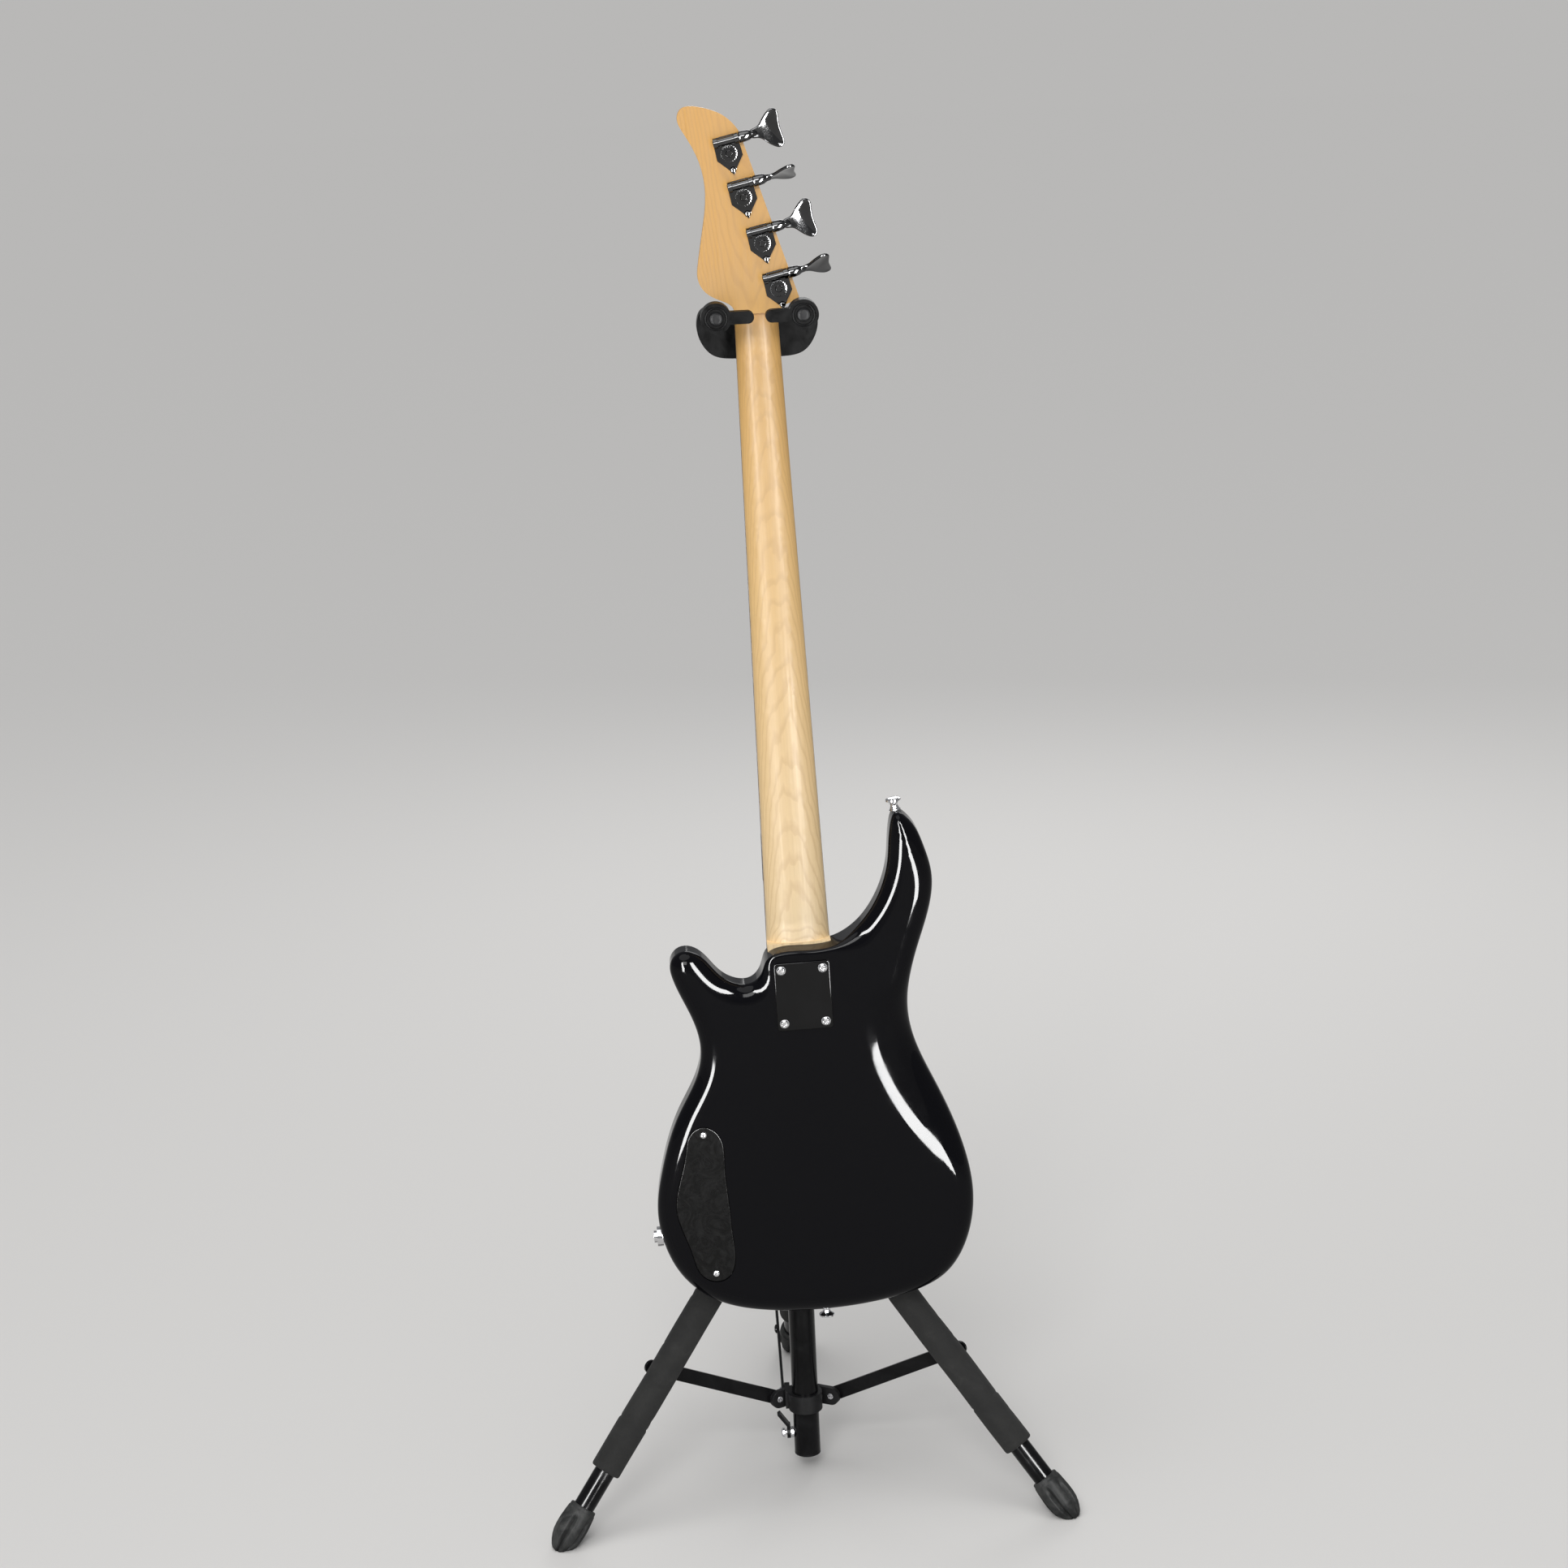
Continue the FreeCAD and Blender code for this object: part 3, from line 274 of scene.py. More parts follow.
def maple():
    """Satin maple: growth rings cut nearly flat, so that they run up the neck as cathedrals."""
    paint = Paint("maple", (0.74, 0.45, 0.17), 0.40, Specular_IOR_Level=0.10)
    grain = paint.mapped(BASS, (1.0, 1.0, 0.055))
    wander = paint.noise(9.0, 2.0, 0.5, 0.4, grain)
    ripple = paint.noise(46.0, 2.0, 0.5, 0.3, paint.mapped(BASS, (1.0, 1.0, 0.35)))
    split = paint.node("SeparateXYZ")
    paint.link(paint.mapped(BASS), split.inputs["Vector"])
    # the ring's radius about a heart that lies behind the neck and drifts along it
    side = paint.math("ADD", split.outputs["X"], 0.002)
    depth = paint.math("SUBTRACT", split.outputs["Y"], 0.055)
    square = paint.math("ADD", paint.math("MULTIPLY", side, side), paint.math("MULTIPLY", depth, depth))
    drift = paint.math("ADD", paint.math("SQRT", square), paint.math("MULTIPLY", wander, 0.014))
    drift = paint.math("ADD", drift, paint.math("MULTIPLY", ripple, 0.0042))
    drift = paint.math("SUBTRACT", drift, paint.math("MULTIPLY", split.outputs["Z"], 0.045))
    rings = paint.math("FRACT", paint.math("MULTIPLY", drift, 640.0))
    line = paint.ramp(rings, (0.0, 0.12), (0.52, 0.05), (0.80, 1.0), (0.92, 0.85), (1.0, 0.12))
    fibre = paint.noise(520.0, 3.0, 0.6, 0.0, paint.mapped(BASS, (1.0, 1.0, 0.018)))
    # the wood is deeper in colour at the head and paler towards the heel
    height = paint.math("ADD", paint.math("MULTIPLY", split.outputs["Z"], 1.35), 0.80)
    pale = paint.ramp(height, (0.05, (0.89, 0.69, 0.41)), (0.45, (0.80, 0.53, 0.225)),
                      (0.86, (0.69, 0.365, 0.080)))
    deep = paint.mix(0.5, pale, (0.40, 0.19, 0.055))
    colour = paint.mix(paint.math("MULTIPLY", line, 0.48), pale, deep)
    colour = paint.mix(paint.ramp(fibre, (0.35, 0.0), (0.75, 0.30)), colour, deep)
    patches = paint.noise(7.0, 2.0, 0.5, 0.2, paint.mapped(BASS, (1.0, 1.0, 0.25)))
    colour = paint.mix(paint.ramp(patches, (0.35, 0.0), (0.7, 0.22)), colour, (0.86, 0.62, 0.33))
    paint.colour(colour)
    paint.roughness(fibre, 0.34, 0.50)
    paint.bump(fibre, 0.10, 0.0003)
    return paint.material


def rosewood():
    """Oiled rosewood: dark and light streaks along the board, with open pores."""
    paint = Paint("rosewood", (0.055, 0.026, 0.016), 0.5)
    along = paint.mapped(BASS, (1.0, 1.0, 0.035))
    streak = paint.noise(260.0, 5.0, 0.65, 0.3, along)
    paint.colour(paint.ramp(streak, (0.3, (0.020, 0.010, 0.007)), (0.55, (0.060, 0.030, 0.018)),
                            (0.8, (0.125, 0.062, 0.034))))
    pores = paint.noise(1500.0, 2.0, 0.5, 0.0, along)
    paint.roughness(pores, 0.62, 0.42)
    paint.bump(paint.ramp(pores, (0.3, 0.0), (0.5, 1.0)), 0.35, 0.0003)
    return paint.material


def chrome(name="chrome", shade=0.62, low=0.05, high=0.16):
    """Plated and polished, with thin haze and finger marks."""
    paint = Paint(name, (shade, shade, shade * 1.02), low, 1.0)
    haze = paint.noise(120.0, 5.0, 0.7, 0.8)
    paint.roughness(haze, low, high, 0.35, 0.75)
    tint = paint.noise(30.0, 2.0)
    paint.colour(paint.ramp(tint, (0.3, (shade * 0.92,) * 3), (0.7, (shade * 1.06, shade * 1.06, shade * 1.09))))
    paint.bump(paint.noise(400.0, 2.0), 0.03, 0.0002)
    return paint.material


def worn_metal(name, colour, low, high):
    """Plain machined metal with fine marks."""
    paint = Paint(name, colour, low, 1.0)
    marks = paint.noise(900.0, 3.0, 0.6)
    paint.roughness(marks, low, high)
    paint.colour(paint.ramp(marks, (0.3, tuple(c * 0.75 for c in colour)), (0.7, colour)))
    paint.bump(marks, 0.15, 0.0002)
    return paint.material


WINDING = 12000.0                      # radians of winding in a metre of string


def wound_string():
    """Round-wound steel: one ridge for each turn of the wire, with painted shade in the grooves between the
    turns.
    """
    paint = Paint("wound_steel", (0.58, 0.56, 0.52), 0.3, 1.0)
    along = paint.mapped(BASS)
    split = paint.node("SeparateXYZ")
    paint.link(along, split.inputs["Vector"])
    turns = paint.math("SINE", paint.math("MULTIPLY", split.outputs["Z"], WINDING))
    # the colour is darkened in the grooves between the turns: painted shade
    paint.colour(paint.ramp(turns, (0.2, (0.30, 0.29, 0.27)), (0.7, (0.62, 0.60, 0.56))))
    paint.roughness(paint.noise(600.0), 0.24, 0.42)
    paint.bump(turns, 0.5, 0.0002)
    return paint.material


def enamel():
    """Black powder-coated tube: glossy with a slight orange peel, rubbed a little."""
    paint = Paint("black_enamel", (0.004, 0.004, 0.0043), 0.16, Specular_IOR_Level=0.11)
    rubbed = paint.noise(26.0, 5.0, 0.65, 1.2)
    paint.roughness(rubbed, 0.12, 0.27, 0.35, 0.75)
    paint.colour(paint.ramp(rubbed, (0.35, (0.004, 0.004, 0.0045)), (0.8, (0.011, 0.011, 0.012))))
    paint.bump(paint.noise(700.0, 2.0), 0.06, 0.0003)
    return paint.material


def casting():
    """Painted die casting: satin black with a fine grain."""
    paint = Paint("black_casting", (0.005, 0.005, 0.0053), 0.40, Specular_IOR_Level=0.07)
    grain = paint.noise(1400.0, 3.0, 0.6)
    paint.colour(paint.ramp(paint.noise(60.0, 4.0), (0.3, (0.006, 0.006, 0.0065)), (0.75, (0.015, 0.015, 0.016))))
    paint.roughness(grain, 0.36, 0.55)
    paint.bump(grain, 0.25, 0.0003)
    return paint.material


def matte_plastic():
    """Moulded black plastic with a fine spark-etched grain and hairline scuffs."""
    paint = Paint("black_plastic", (0.004, 0.004, 0.0043), 0.34, Specular_IOR_Level=0.06)
    etched = paint.noise(2400.0, 2.0, 0.5)
    scuffs = paint.noise(60.0, 6.0, 0.75, 3.0)
    paint.colour(paint.ramp(scuffs, (0.5, (0.008, 0.008, 0.009)), (0.72, (0.020, 0.020, 0.021))))
    paint.roughness(scuffs, 0.30, 0.48, 0.35, 0.7)
    paint.bump(etched, 0.18, 0.0002)
    return paint.material


def cover_plastic():
    """The control cover: smooth black plastic, smeared and dusty."""
    paint = Paint("cover_plastic", (0.007, 0.007, 0.007), 0.18, Specular_IOR_Level=0.16)
    smear = paint.noise(48.0, 6.0, 0.7, 3.5)
    paint.colour(paint.ramp(smear, (0.45, (0.004, 0.004, 0.004)), (0.75, (0.009, 0.009, 0.009))))
    paint.roughness(smear, 0.14, 0.26, 0.35, 0.7)
    paint.bump(paint.noise(900.0, 2.0), 0.05, 0.0003)
    return paint.material


def foam():
    """Charcoal closed-cell foam: matte, pocked, with painted shade in the pits, paler where it has been rubbed.
    """
    paint = Paint("foam", (0.010, 0.010, 0.0095), 0.95, Sheen_Weight=0.05, Sheen_Roughness=0.6,
                  Specular_IOR_Level=0.08)
    cells = paint.noise(1500.0, 3.0, 0.7)
    rubbed = paint.noise(34.0, 5.0, 0.65, 0.6)
    worn = paint.ramp(rubbed, (0.38, (0.009, 0.009, 0.0085)), (0.60, (0.016, 0.016, 0.015)),
                      (0.80, (0.036, 0.035, 0.033)))
    # the pits of the cells are darkened: painted shade
    paint.colour(paint.mix(paint.ramp(cells, (0.35, 0.35), (0.6, 0.0)), worn, (0.008, 0.008, 0.008)))
    paint.roughness(cells, 0.98, 0.82)
    paint.bump(cells, 0.45, 0.0005)
    paint.bump(rubbed, 0.25, 0.0015)
    return paint.material


def rubber(name, dark, pale, low, high):
    """Moulded rubber, smeared paler where it has been handled."""
    paint = Paint(name, dark, low, Specular_IOR_Level=0.025)
    smear = paint.noise(70.0, 5.0, 0.65, 1.0)
    paint.colour(paint.ramp(smear, (0.40, dark), (0.78, pale)))
    paint.roughness(smear, low, high)
    paint.bump(paint.noise(1100.0, 3.0, 0.6), 0.22, 0.0003)
    return paint.material


# ---------------------------------------------------------------- mesh helpers
def solid(name, points, faces, body, material):
    """A finished piece from points in the frame's metres."""
    mesh = bpy.data.meshes.new(name)
    mesh.from_pydata([tuple(p) for p in points], [], faces)
    mesh.validate()
    mesh.polygons.foreach_set("use_smooth", [True] * len(mesh.polygons))
    mesh.materials.append(material)
    made = bpy.data.objects.new(name, mesh)
    bpy.context.scene.collection.objects.link(made)
    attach(made, body)
    return made


def skin(rings):
    """Points and faces of a closed surface over rings of equal length, with its ends filled."""
    count = len(rings[0])
    points = [p for ring in rings for p in ring]
    faces = []
    for k in range(len(rings) - 1):
        for i in range(count):
            j = (i + 1) % count
            faces.append((k * count + i, k * count + j, (k + 1) * count + j, (k + 1) * count + i))
    first, last = range(count), range((len(rings) - 1) * count, len(rings) * count)
    faces.append(tuple(reversed(first)))
    faces.append(tuple(last))
    return points, faces


WELD_DISTANCE, BEVEL_SEGMENTS, BEVEL_ANGLE, NORMAL_WEIGHT = 0.00001, 2, math.radians(35), 80


def soften(node, width):
    """Round a CAD node's sharp edges as it is drawn: the node's own mesh stays as it is."""
    piece = NODES[node]
    if "custom_normal" in piece.data.attributes:
        piece.data.attributes.remove(piece.data.attributes["custom_normal"])
    weld = piece.modifiers.new("weld", "WELD")
    weld.merge_threshold = WELD_DISTANCE
    bevel = piece.modifiers.new("bevel", "BEVEL")
    bevel.width, bevel.segments = width * MM, BEVEL_SEGMENTS
    bevel.limit_method, bevel.angle_limit = "ANGLE", BEVEL_ANGLE
    bevel.harden_normals = False
    bevel.use_clamp_overlap = True
    bevel.miter_outer = "MITER_ARC"
    piece.data.polygons.foreach_set("use_smooth", [True] * len(piece.data.polygons))
    normals = piece.modifiers.new("normals", "WEIGHTED_NORMAL")
    normals.keep_sharp = False
    normals.weight = NORMAL_WEIGHT


def closed_spline(points, count):
    """A smooth closed curve through the points (a periodic cubic spline), sampled evenly."""
    p = np.array(points, float)
    n = len(p)
    chord = np.linalg.norm(np.roll(p, -1, 0) - p, axis=1)
    system, right = np.zeros((n, n)), np.zeros((n, 2))
    for i in range(n):
        before, after = chord[i - 1], chord[i]
        system[i, i - 1] += before
        system[i, i] += 2 * (before + after)
        system[i, (i + 1) % n] += after
        right[i] = 6 * ((p[(i + 1) % n] - p[i]) / after - (p[i] - p[i - 1]) / before)
    bend = np.linalg.solve(system, right)
    fine = []
    for i in range(n):
        j, h = (i + 1) % n, chord[i]
        for t in np.linspace(0, 1, 24, endpoint=False):
            a, b = 1 - t, t
            fine.append(a * p[i] + b * p[j] + h * h / 6 * ((a ** 3 - a) * bend[i] + (b ** 3 - b) * bend[j]))
    fine = np.array(fine)
    step = np.linalg.norm(np.roll(fine, -1, 0) - fine, axis=1)
    run = np.concatenate([[0], np.cumsum(step)])
    wanted = np.linspace(0, run[-1], count, endpoint=False)
    looped = np.vstack([fine, fine[:1]])
    return np.column_stack([np.interp(wanted, run, looped[:, k]) for k in (0, 1)])


def inward_normals(outline):
    """Unit normals of a closed outline, pointing into it."""
    ahead, behind = np.roll(outline, -1, 0), np.roll(outline, 1, 0)
    along = (ahead - behind) / np.linalg.norm(ahead - behind, axis=1)[:, None]
    twice_area = np.sum(outline[:, 0] * ahead[:, 1] - ahead[:, 0] * outline[:, 1])
    return np.column_stack([along[:, 1], -along[:, 0]]) * -np.sign(twice_area)


def distance_to(line, points, closed=True):
    """Distance from each point to a polyline, with the side: positive to the right of its direction."""
    a = line if closed else line[:-1]
    b = np.roll(line, -1, 0) if closed else line[1:]
    best = np.full(len(points), 1e9)
    side = np.zeros(len(points))
    for start, end in zip(a, b):
        along = end - start
        share = np.clip((points - start) @ along / (along @ along), 0, 1)
        gap = points - (start + share[:, None] * along)
        d = np.hypot(gap[:, 0], gap[:, 1])
        cross = along[0] * (points[:, 1] - start[1]) - along[1] * (points[:, 0] - start[0])
        nearer = d < best - 1e-9
        best[nearer], side[nearer] = d[nearer], -np.sign(cross[nearer])
    return best, side


def smooth_step(t):
    t = np.clip(t, 0, 1)
    return t * t * (3 - 2 * t)


# ---------------------------------------------------------------- the bass body
BODY_T = 40.0
BODY_OUTLINE = [
    (0, -577), (18, -577), (32, -574.5), (45, -567.5), (58, -556), (75, -531), (84.5, -502), (88, -473),
    (95.5, -456), (106, -463), (118, -487), (124.5, -516), (121, -545), (108, -583), (97, -626), (99, -668),
    (119, -722), (138, -773), (146.5, -821), (140, -867), (117, -904), (72, -923), (8, -930.5), (-55, -927),
    (-98.7, -914), (-129, -888), (-145, -852), (-148.5, -820), (-142, -783), (-122, -728), (-102, -690),
    (-97.6, -665), (-105, -632), (-118.5, -597), (-119.5, -583), (-112, -573.5), (-101, -572.5), (-90, -579),
    (-76, -596), (-61, -606), (-47, -606.5), (-37, -597), (-31, -583.5), (-18, -577.5)]
HEEL = np.array([(-24.0, -580.0), (24.0, -576.0)])     # where the neck leaves the body
BELLY_CREST = [(128, -592), (108, -606), (88, -617), (70, -630), (61.5, -646), (59.6, -667), (64, -691),
               (74, -718), (87.5, -744), (103, -767), (121, -788), (141, -806), (165, -824)]
BELLY_SLOPE, BELLY_BLEND = 0.31, 11.0
ROUND_W, ROUND_HEEL = 19.0, 4.0        # width of the rounded edge, and the same beside the neck
BACK_ROUND, FRONT_ROUND = 0.64, 0.50   # depth of that rounding as a share of its width


def open_spline(points, per_span):
    """A smooth open curve through the points (Catmull-Rom)."""
    p = np.array([points[0], *points, points[-1]], float)
    made = []
    for i in range(1, len(p) - 2):
        for t in np.linspace(0, 1, per_span, endpoint=False):
            made.append(0.5 * (2 * p[i] + (p[i + 1] - p[i - 1]) * t
                               + (2 * p[i - 1] - 5 * p[i] + 4 * p[i + 1] - p[i + 2]) * t ** 2
                               + (3 * p[i] - p[i - 1] - 3 * p[i + 1] + p[i + 2]) * t ** 3))
    made.append(p[-1])
    return np.array(made)


HEEL_FADE = 42.0                       # the edge reaches its full rounding this far from the heel
ROUND_STEPS = (0.010, 0.04, 0.09, 0.16, 0.25, 0.36, 0.48, 0.61, 0.74, 0.87, 1.0, 1.15)
BODY_PITCH, WALL_LEVELS = 4.0, 4


def round_width(points):
    from_heel, _ = distance_to(HEEL, points, closed=False)
    return ROUND_HEEL + (ROUND_W - ROUND_HEEL) * smooth_step(from_heel / HEEL_FADE)


def rounding(inside, width):
    """How far the surface has dropped at a distance inside the edge: a quarter of an ellipse."""
    t = np.clip(1 - inside / width, 0, 1)
    return width * (1 - np.sqrt(np.clip(1 - t * t, 0, 1)))


def belly_cut(points):
    """How deep the belly cut is: nothing beyond its crest, then a slope that starts softly."""
    crest = open_spline(BELLY_CREST, 8)
    gap, side = distance_to(crest, points, closed=False)
    s = gap * -side
    blended = (s + BELLY_BLEND) ** 2 / (4 * BELLY_BLEND)
    return BELLY_SLOPE * np.where(s > BELLY_BLEND, s, np.where(s < -BELLY_BLEND, 0, blended))


def body_piece(material):
    """The body: one outline, rounded edges, and the belly cut across its back."""
    outline = closed_spline(BODY_OUTLINE, 460)
    inward = inward_normals(outline)
    width = round_width(outline)
    plan = [outline]
    for share in ROUND_STEPS:
        wanted = share * width
        ring = outline + inward * wanted[:, None]
        found, _ = distance_to(outline, ring)
        plan.append(ring[found > wanted * 0.985 - 0.02])
    pitch, low, high = BODY_PITCH, outline.min(0), outline.max(0)
    across, down = np.arange(low[0], high[0], pitch), np.arange(low[1], high[1], pitch)
    grid = np.array([(x, z) for x in across for z in down])
    grid += np.array([(0.5 * pitch if round((z - low[1]) / pitch) % 2 else 0.0, 0.0) for _, z in grid])
    gap, side = distance_to(outline, grid)
    keep = (side > 0) & (gap > round_width(grid) * 1.2 + 0.45 * pitch)
    plan.append(grid[keep])
    plan = np.vstack(plan)
    count = len(outline)
    edges = [(i, (i + 1) % count) for i in range(count)]
    flat, _, cells, *_ = delaunay_2d_cdt([Vector(p) for p in plan], edges, [], 1, 1e-5)
    flat = np.array([tuple(p) for p in flat])
    inside, _ = distance_to(outline, flat)
    inside[:count] = 0.0
    width = round_width(flat)
    back = -BODY_T + belly_cut(flat) + BACK_ROUND * rounding(inside, width)
    front = -FRONT_ROUND * rounding(inside, width)
    points = [on_bass(x, y, z) for (x, z), y in zip(flat, back)]
    points += [on_bass(x, y, z) for (x, z), y in zip(flat, front)]
    total = len(flat)
    faces = []
    for cell in cells:
        a, b, c = cell[:3]
        area = (flat[b][0] - flat[a][0]) * (flat[c][1] - flat[a][1]) - (flat[c][0] - flat[a][0]) * (
            flat[b][1] - flat[a][1])
        face = tuple(cell) if area < 0 else tuple(reversed(cell))
        faces.append(tuple(reversed(face)))
        faces.append(tuple(i + total for i in face))
    walls = [list(range(count))]
    for level in range(1, WALL_LEVELS):
        share = level / WALL_LEVELS
        start = len(points)
        points += [points[i].lerp(points[i + total], share) for i in range(count)]
        walls.append(list(range(start, start + count)))
    walls.append([i + total for i in range(count)])
    for lower, upper in zip(walls[:-1], walls[1:]):
        for i in range(count):
            j = (i + 1) % count
            faces.append((lower[i], upper[i], upper[j], lower[j]))
    return solid("body_shell", points, faces, "bass", material)


CUT_ANGLE = math.radians(38)           # the shell's edges sharper than this stay sharp


def cut(piece, cutter):
    """Take cutter's shape out of piece, for good."""
    modifier = piece.modifiers.new("cut", "BOOLEAN")
    modifier.operation, modifier.solver, modifier.object = "DIFFERENCE", "EXACT", cutter
    graph = bpy.context.evaluated_depsgraph_get()
    mesh = bpy.data.meshes.new_from_object(piece.evaluated_get(graph))
    piece.modifiers.clear()
    piece.data = mesh
    bpy.data.objects.remove(cutter)
    mesh.set_sharp_from_angle(angle=CUT_ANGLE)


COVER_OUTLINE = [
    (-100.5, -738.5), (-88.5, -745), (-83.0, -778), (-81.5, -814), (-80.0, -850), (-80.5, -876), (-88, -888),
    (-100.5, -890.5), (-111.5, -884), (-119.5, -862), (-127.5, -836), (-131.0, -814), (-126, -790),
    (-118.5, -762), (-112.5, -744)]
RECESS_DEPTH, RECESS_GROWTH = 2.7, 0.006
COVER_RIM = [(2.5, 0.15), (0.9, 0.15), (0.5, 0.24), (0.2, 0.48), (0.04, 0.85), (0.0, 1.25),
             (0.0, 1.8)]                      # depth below the body's back, and inset from the outline


def cover_recess():
    """The cutter for the recess that the control cover sits in."""
    outline = closed_spline(COVER_OUTLINE, 160)
    grown = outline + (outline - outline.mean(0)) * RECESS_GROWTH
    rings = [[on_bass(x, y, z) for x, z in grown] for y in (-BODY_T - 6, -BODY_T + RECESS_DEPTH)]
    points, faces = skin(rings)
    mesh = bpy.data.meshes.new("recess")
    mesh.from_pydata([tuple(p) for p in points], [], faces)
    made = bpy.data.objects.new("recess", mesh)
    bpy.context.scene.collection.objects.link(made)
    return made


PLATE_W, PLATE_L, PLATE_R, PLATE_AT = 51.0, 64.0, 3.0, -619.0
PLATE_RIM = [(0.02, 0.0), (1.40, 0.0), (1.70, 0.07), (1.90, 0.28), (2.0, 0.62), (2.0, 0.95)]   # rise, inset


def plate_piece(material):
    """The neck plate: flat, with square corners just broken and a small round along its rim."""
    corners = [(1, 1, 0.0), (-1, 1, 0.5), (-1, -1, 1.0), (1, -1, 1.5)]
    rings = []
    for rise, inset in PLATE_RIM:
        r = PLATE_R - inset
        rings.append([on_bass(sx * (PLATE_W / 2 - PLATE_R) + r * math.cos(math.pi * (start + k / 16)),
                              -BODY_T - rise,
                              PLATE_AT + sz * (PLATE_L / 2 - PLATE_R) + r * math.sin(math.pi * (start + k / 16)))
                      for sx, sz, start in corners for k in range(9)])
    points, faces = skin(rings)
    piece = solid("plate", points, faces, "bass", material)
    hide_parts("neck_plate")


def cover_piece(material):
    """The control cover, set into its recess, with a rounded rim."""
    outline = closed_spline(COVER_OUTLINE, 200)
    inward = inward_normals(outline)
    rings = [[on_bass(x, -BODY_T + depth, z) for x, z in outline + inward * inset] for depth, inset in COVER_RIM]
    points, faces = skin(rings)
    piece = solid("cover", points, faces, "bass", material)
    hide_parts("control_cover")


HEAD_BACK, TUNER_TILT, WORM_OFFSET, WORM_DEPTH, KEY_ROOT = -15.0, math.radians(11), 11.0, 6.2, 26.0
TUNER_AT = [(-138.6, -14.7), (-100.5, -4.7), (-60.3, 9.0), (-20.2, 20.5)]     # along, across
KEY_TURN = [0.0, 70.0, 0.0, 60.0]                     # degrees, as each key stands at rest
# the clover's outline, as (along, across) from its root; the stem's (along, radius); the rim's (inset, height)
KEY_SHAPE = [(-4, -3.0), (2, -4.9), (8, -9.8), (14, -15.2), (19, -17.0), (22.8, -14.6), (23.2, -9), (22.4, 0),
             (23.2, 9), (22.8, 14.6), (19, 17.0), (14, 15.2), (8, 9.8), (2, 4.9), (-4, 3.0)]
KEY_STEM = [(-11.5, 2.8), (-11.2, 3.1), (-7.4, 3.1), (-7.2, 3.45), (7.2, 3.45), (7.4, 3.1), (11.4, 3.1),
            (11.4, 4.4), (11.7, 4.6), (13.4, 4.9), (17.0, 4.8), (20.4, 4.4), (22.4, 3.5), (23.4, 3.1),
            (26.5, 2.8), (28.0, 1.4)]
KEY_RIM = [(2.6, -0.90), (1.5, -1.25), (0.9, -1.28), (0.45, -1.12), (0.12, -0.66), (0.0, 0.0), (0.12, 0.66),
           (0.45, 1.12), (0.9, 1.28), (1.5, 1.25), (2.6, 0.90)]

STEM_SIDES, MOULDED_ANGLE = 28, math.radians(50)      # edges sharper than this angle stay sharp


def key_piece(number, material):
    """A tuner's key with its shaft: a turned stem, and a clover with a full round rim and dished faces."""
    sine, cosine = math.sin(TUNER_TILT), math.cos(TUNER_TILT)
    out, up = Vector((cosine, 0, sine)), Vector((-sine, 0, cosine))
    along, across = TUNER_AT[number]
    middle = Vector((across, HEAD_BACK - WORM_DEPTH, -along)) + up * WORM_OFFSET
    spin = Matrix.Rotation(math.radians(KEY_TURN[number]), 3, out)

    def at(a, b, c):
        return on_bass(*(middle + spin @ (out * a + up * b + Vector((0, c, 0)))))

    angles = [2 * math.pi * i / STEM_SIDES for i in range(STEM_SIDES)]
    points, faces = skin([[at(a, r * math.cos(t), r * math.sin(t)) for t in angles] for a, r in KEY_STEM])
    outline = closed_spline(KEY_SHAPE, 150)
    inward = inward_normals(outline)
    blade = [[at(KEY_ROOT + a, b, c) for a, b in outline + inward * inset] for inset, c in KEY_RIM]
    more, more_faces = skin(blade)
    start = len(points)
    points += more
    faces += [tuple(i + start for i in face) for face in more_faces]
    piece = solid("key_%d_turned" % (number + 1), points, faces, "key_%d" % (number + 1), material)
    piece.data.set_sharp_from_angle(angle=MOULDED_ANGLE)
    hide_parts("tuner_key_%d" % (number + 1))


# ---------------------------------------------------------------- stand: soft and moulded pieces
FINGER_AT, FINGER_FRONT = (38.0, 1137.5), -104.0       # across and up from the pole; the discs' outer face
RING_R, RING_HALF, RING_RISE = 9.3, 1.0, 0.75          # radius, half its width, and how far it stands proud
RING_STEPS, RING_SIDES = 56, 14


def finger_ring(side, name, material):
    """The raised ring moulded on a finger's disc."""
    middle = POLE + Vector((side * FINGER_AT[0], FINGER_FRONT, FINGER_AT[1])) * MM
    points = []
    for i in range(RING_STEPS):
        angle = 2 * math.pi * i / RING_STEPS
        direction = Vector((math.cos(angle), 0, math.sin(angle)))
        for k in range(RING_SIDES):
            t = 2 * math.pi * k / RING_SIDES
            rise = Vector((0, RING_RISE * math.sin(t) * MM, 0))
            points.append(middle + direction * (RING_R + RING_HALF * math.cos(t)) * MM + rise)
    faces = []
    for i in range(RING_STEPS):
        here, after = i * RING_SIDES, (i + 1) % RING_STEPS * RING_SIDES
        for k in range(RING_SIDES):
            up = (k + 1) % RING_SIDES
            faces.append((here + k, here + up, after + up, after + k))
    solid("finger_ring_" + name, points, faces, "grip_" + name, material)


FOAM_SEAM, FOAM_SIDES, FOAM_STATIONS, FOAM_SEED = 251.0, 72, 132, 7


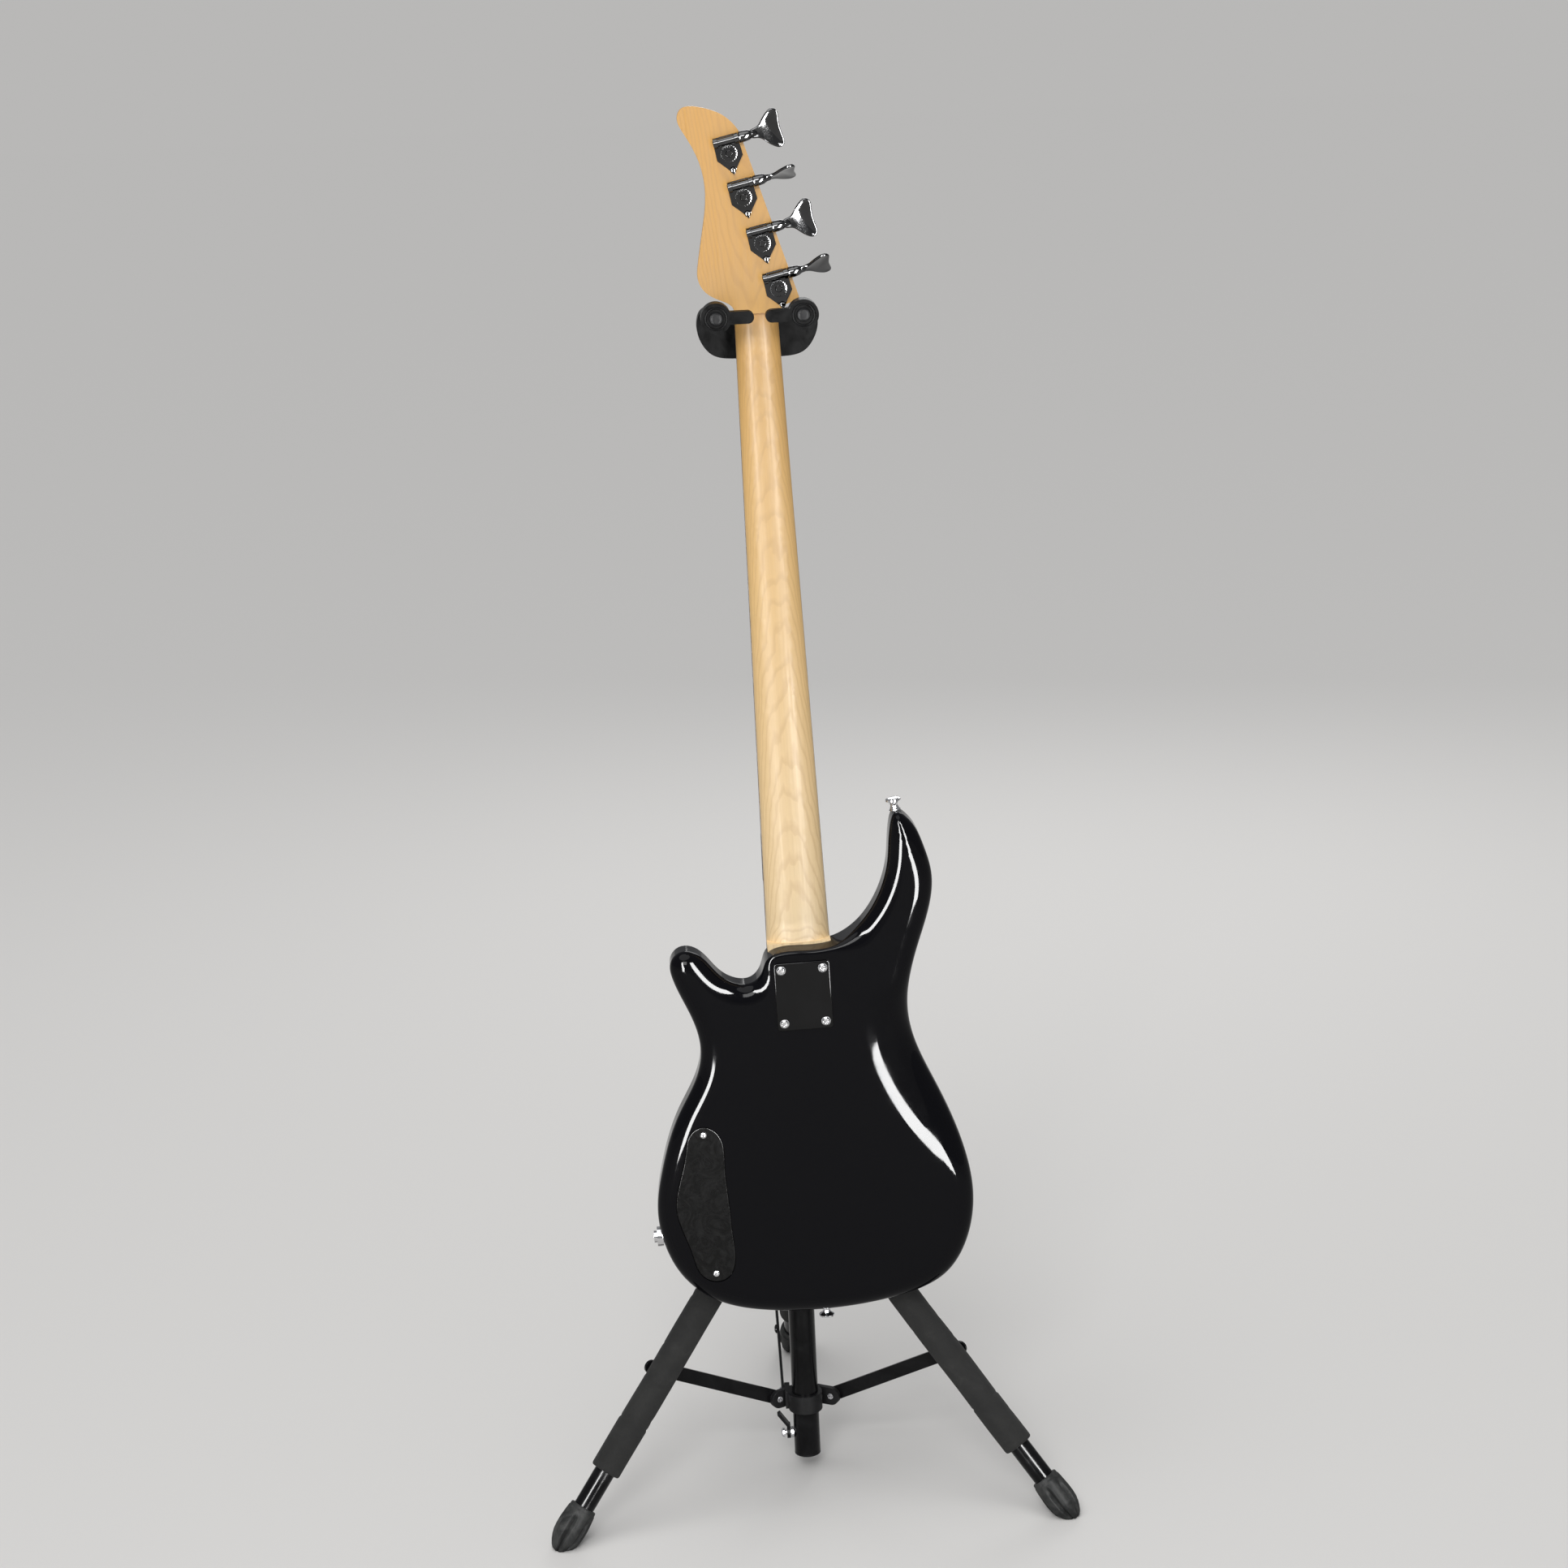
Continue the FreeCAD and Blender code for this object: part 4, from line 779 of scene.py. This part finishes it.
def foam_piece(side, material, seed):
    """A foam sleeve: creased, a little slack, with the seam where its two lengths meet."""
    place = leg_frame(side)
    rng = np.random.default_rng(seed)
    waves = [(rng.uniform(0.02, 0.09), rng.integers(1, 4), rng.uniform(0, 2 * math.pi), rng.uniform(0.4, 1.0))
             for _ in range(9)]
    creases = [(rng.uniform(FOAM_START + 20, FOAM_END - 20), rng.uniform(0, 2 * math.pi), rng.uniform(0.5, 1.1),
                rng.uniform(0.25, 0.6)) for _ in range(8)]
    stations = [(FOAM_START, 0.70), (FOAM_START + 0.5, 0.90), (FOAM_START + 1.6, 0.975)]
    stations += [(u, 1.0) for u in np.linspace(FOAM_START + 3.5, FOAM_END - 3.5, FOAM_STATIONS)]
    stations += [(FOAM_END - 1.6, 0.985), (FOAM_END - 0.4, 0.93), (FOAM_END, 0.80)]
    rings = []
    for u, share in stations:
        ring = []
        for i in range(FOAM_SIDES):
            angle = 2 * math.pi * i / FOAM_SIDES
            slack = sum(a * math.sin(k * angle + phase + u * f * 0.08) for a, k, phase, f in waves)
            crease = 0.0
            for at, direction, spread, depth in creases:
                facing = max(0.0, math.cos(angle - direction)) ** 2
                slant = (u - at) - 4.0 * math.sin(angle - direction)
                crease += depth * facing * math.exp(-(slant / (2.2 * spread)) ** 2)
            step = 0.45 * (1 - smooth_step((u - FOAM_SEAM + 1.0) / 2.0))
            groove = 0.7 * math.exp(-((u - FOAM_SEAM) / 0.9) ** 2)
            radius = (FOAM_R - 0.25 + slack - crease - step - groove) * share
            radius = min(radius, FOAM_R)
            ring.append(place @ (Vector((radius * math.cos(angle), radius * math.sin(angle), u)) * MM))
        rings.append(ring)
    points, faces = skin(rings)
    piece = solid("foam_sleeve_" + side, points, faces, "leg_" + side, material)
    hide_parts("foam_" + side)


FOOT_SIDES, PETALS = 144, 6
FOOT_PROFILE = [(0.0, 10.3), (0.0, 12.2), (0.6, 12.8), (3.4, 13.1), (4.2, 13.6), (10, 14.3), (18, 15.0),
                (25, 15.0), (31, 14.4), (36, 13.0), (40, 11.2), (44, 8.9), (47, 6.2), (48.5, 2.5)]
FOOT_STEP = 1.2


def foot_piece(side, material):
    """A moulded rubber tip: a thin collar, then petals between sharp flutes, flat where it stands."""
    place = leg_frame(side)
    stations = []
    for (d0, r0), (d1, r1) in zip(FOOT_PROFILE[:-1], FOOT_PROFILE[1:]):
        steps = max(1, round((d1 - d0) / FOOT_STEP))
        stations += [(d0 + (d1 - d0) * k / steps, r0 + (r1 - r0) * k / steps) for k in range(steps)]
    stations.append(FOOT_PROFILE[-1])
    rings = []
    for depth, radius in stations:
        ring = []
        opening = float(smooth_step((depth - 5.0) / 14.0))
        for i in range(FOOT_SIDES):
            angle = 2 * math.pi * i / FOOT_SIDES
            phase = (angle / (2 * math.pi) * PETALS + 0.25) % 1.0
            ridge = abs(phase - 0.5) * 2
            flute = max(0.0, (ridge - 0.62) / 0.38)
            facet = 0.55 * (1 - math.cos((phase - 0.5) * 2 * math.pi)) / 2
            r = radius - opening * (3.4 * flute ** 0.8 + facet)
            point = place @ (Vector((r * math.cos(angle), r * math.sin(angle), FOOT_START + depth)) * MM)
            point.z = max(point.z, 0.0)
            ring.append(point)
        rings.append(ring)
    points, faces = skin(rings)
    piece = solid("rubber_tip_" + side, points, faces, "leg_" + side, material)
    piece.data.set_sharp_from_angle(angle=MOULDED_ANGLE)
    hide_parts("foot_" + side)


# ---------------------------------------------------------------- build
camera()
studio()

paints = {
    "black_tube": enamel(), "black_casting": casting(), "black_plastic": matte_plastic(),
    "zinc_fasteners": worn_metal("zinc", (0.62, 0.62, 0.64), 0.20, 0.38), "foam": foam(),
    "foot_rubber": rubber("foot_rubber", (0.030, 0.031, 0.031), (0.075, 0.076, 0.074), 0.32, 0.52),
    "yoke_rubber": rubber("yoke_rubber", (0.003, 0.003, 0.003), (0.008, 0.008, 0.0085), 0.26, 0.42),
    "black_lacquer": lacquer(), "maple": maple(), "rosewood": rosewood(),
    "nickel_frets": worn_metal("nickel", (0.66, 0.64, 0.58), 0.16, 0.30), "steel_strings": wound_string(),
    "steel_inner": worn_metal("steel", (0.45, 0.45, 0.46), 0.30, 0.50), "chrome": chrome()}
# the tuners' and the neck plate's chrome get a very dark base colour: a painted dark reflection, as if a dark
# room were mirrored in the plating
dark_painted_reflection_chrome = chrome("chrome_with_painted_dark_reflection", 0.085, 0.04, 0.10)
plate_dark_painted_reflection_chrome = chrome("plate_chrome_with_painted_dark_reflection", 0.022, 0.03, 0.07)
slots = {row["node"]: row["material_slot"] for row in frame["record"]["subparts"]}
# tuner nodes take the chrome with the painted dark reflection; every other node takes its slot's paint
for node, piece in NODES.items():
    piece.data.materials.clear()
    piece.data.materials.append(dark_painted_reflection_chrome if node.startswith("tuner_") else paints[slots[node]])

# how wide each CAD node's sharp edges are rounded as they are drawn, in millimetres
EDGES = {"neck": 2.2, "yoke_housing": 2.0, "grip_finger_left": 2.2, "grip_finger_right": 2.2, "leg_hub": 0.8,
         "brace_collar": 0.8, "hub_knob": 1.0, "clutch_knob": 1.0, "fold_lock_lever": 0.6,
         "pickups": 0.3, "bridge_plate": 0.4, "bridge_saddles": 0.5, "tuner_bases": 0.35,
         "strap_buttons": 0.4, "output_jack": 0.4, "cover_screws": 0.2, "neck_screws": 0.25, "nut": 0.3,
         "string_retainer": 0.4, "lock_bolt": 0.4, "collar_rivets": 0.4, "hub_bolts": 0.5, "finger_pins": 0.4,
         "clutch_housing": 0.6, "tube_end_cap": 0.5, "yoke_mount": 0.5, "fretboard": 0.3, "frets": 0.2}
for name in ("left", "right", "rear"):
    EDGES["brace_" + name] = 0.45
for number in (1, 2, 3, 4):
    EDGES["tuner_post_%d" % number] = 0.25
for number in (1, 2, 3):
    EDGES["control_knob_%d" % number] = 0.6
for node, width in EDGES.items():
    soften(node, width)

shell = body_piece(paints["black_lacquer"])
cut(shell, cover_recess())
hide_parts("bass_body")
# the neck plate and the tuner keys take the chrome with the painted dark reflection
plate_piece(plate_dark_painted_reflection_chrome)
cover_piece(cover_plastic())
for number in range(len(TUNER_AT)):
    key_piece(number, dark_painted_reflection_chrome)
for side, name in ((-1, "left"), (1, "right")):
    finger_ring(side, name, paints["yoke_rubber"])
for seed, side in enumerate(LEG_AZIMUTHS):
    foam_piece(side, paints["foam"], FOAM_SEED + seed)
    foot_piece(side, paints["foot_rubber"])
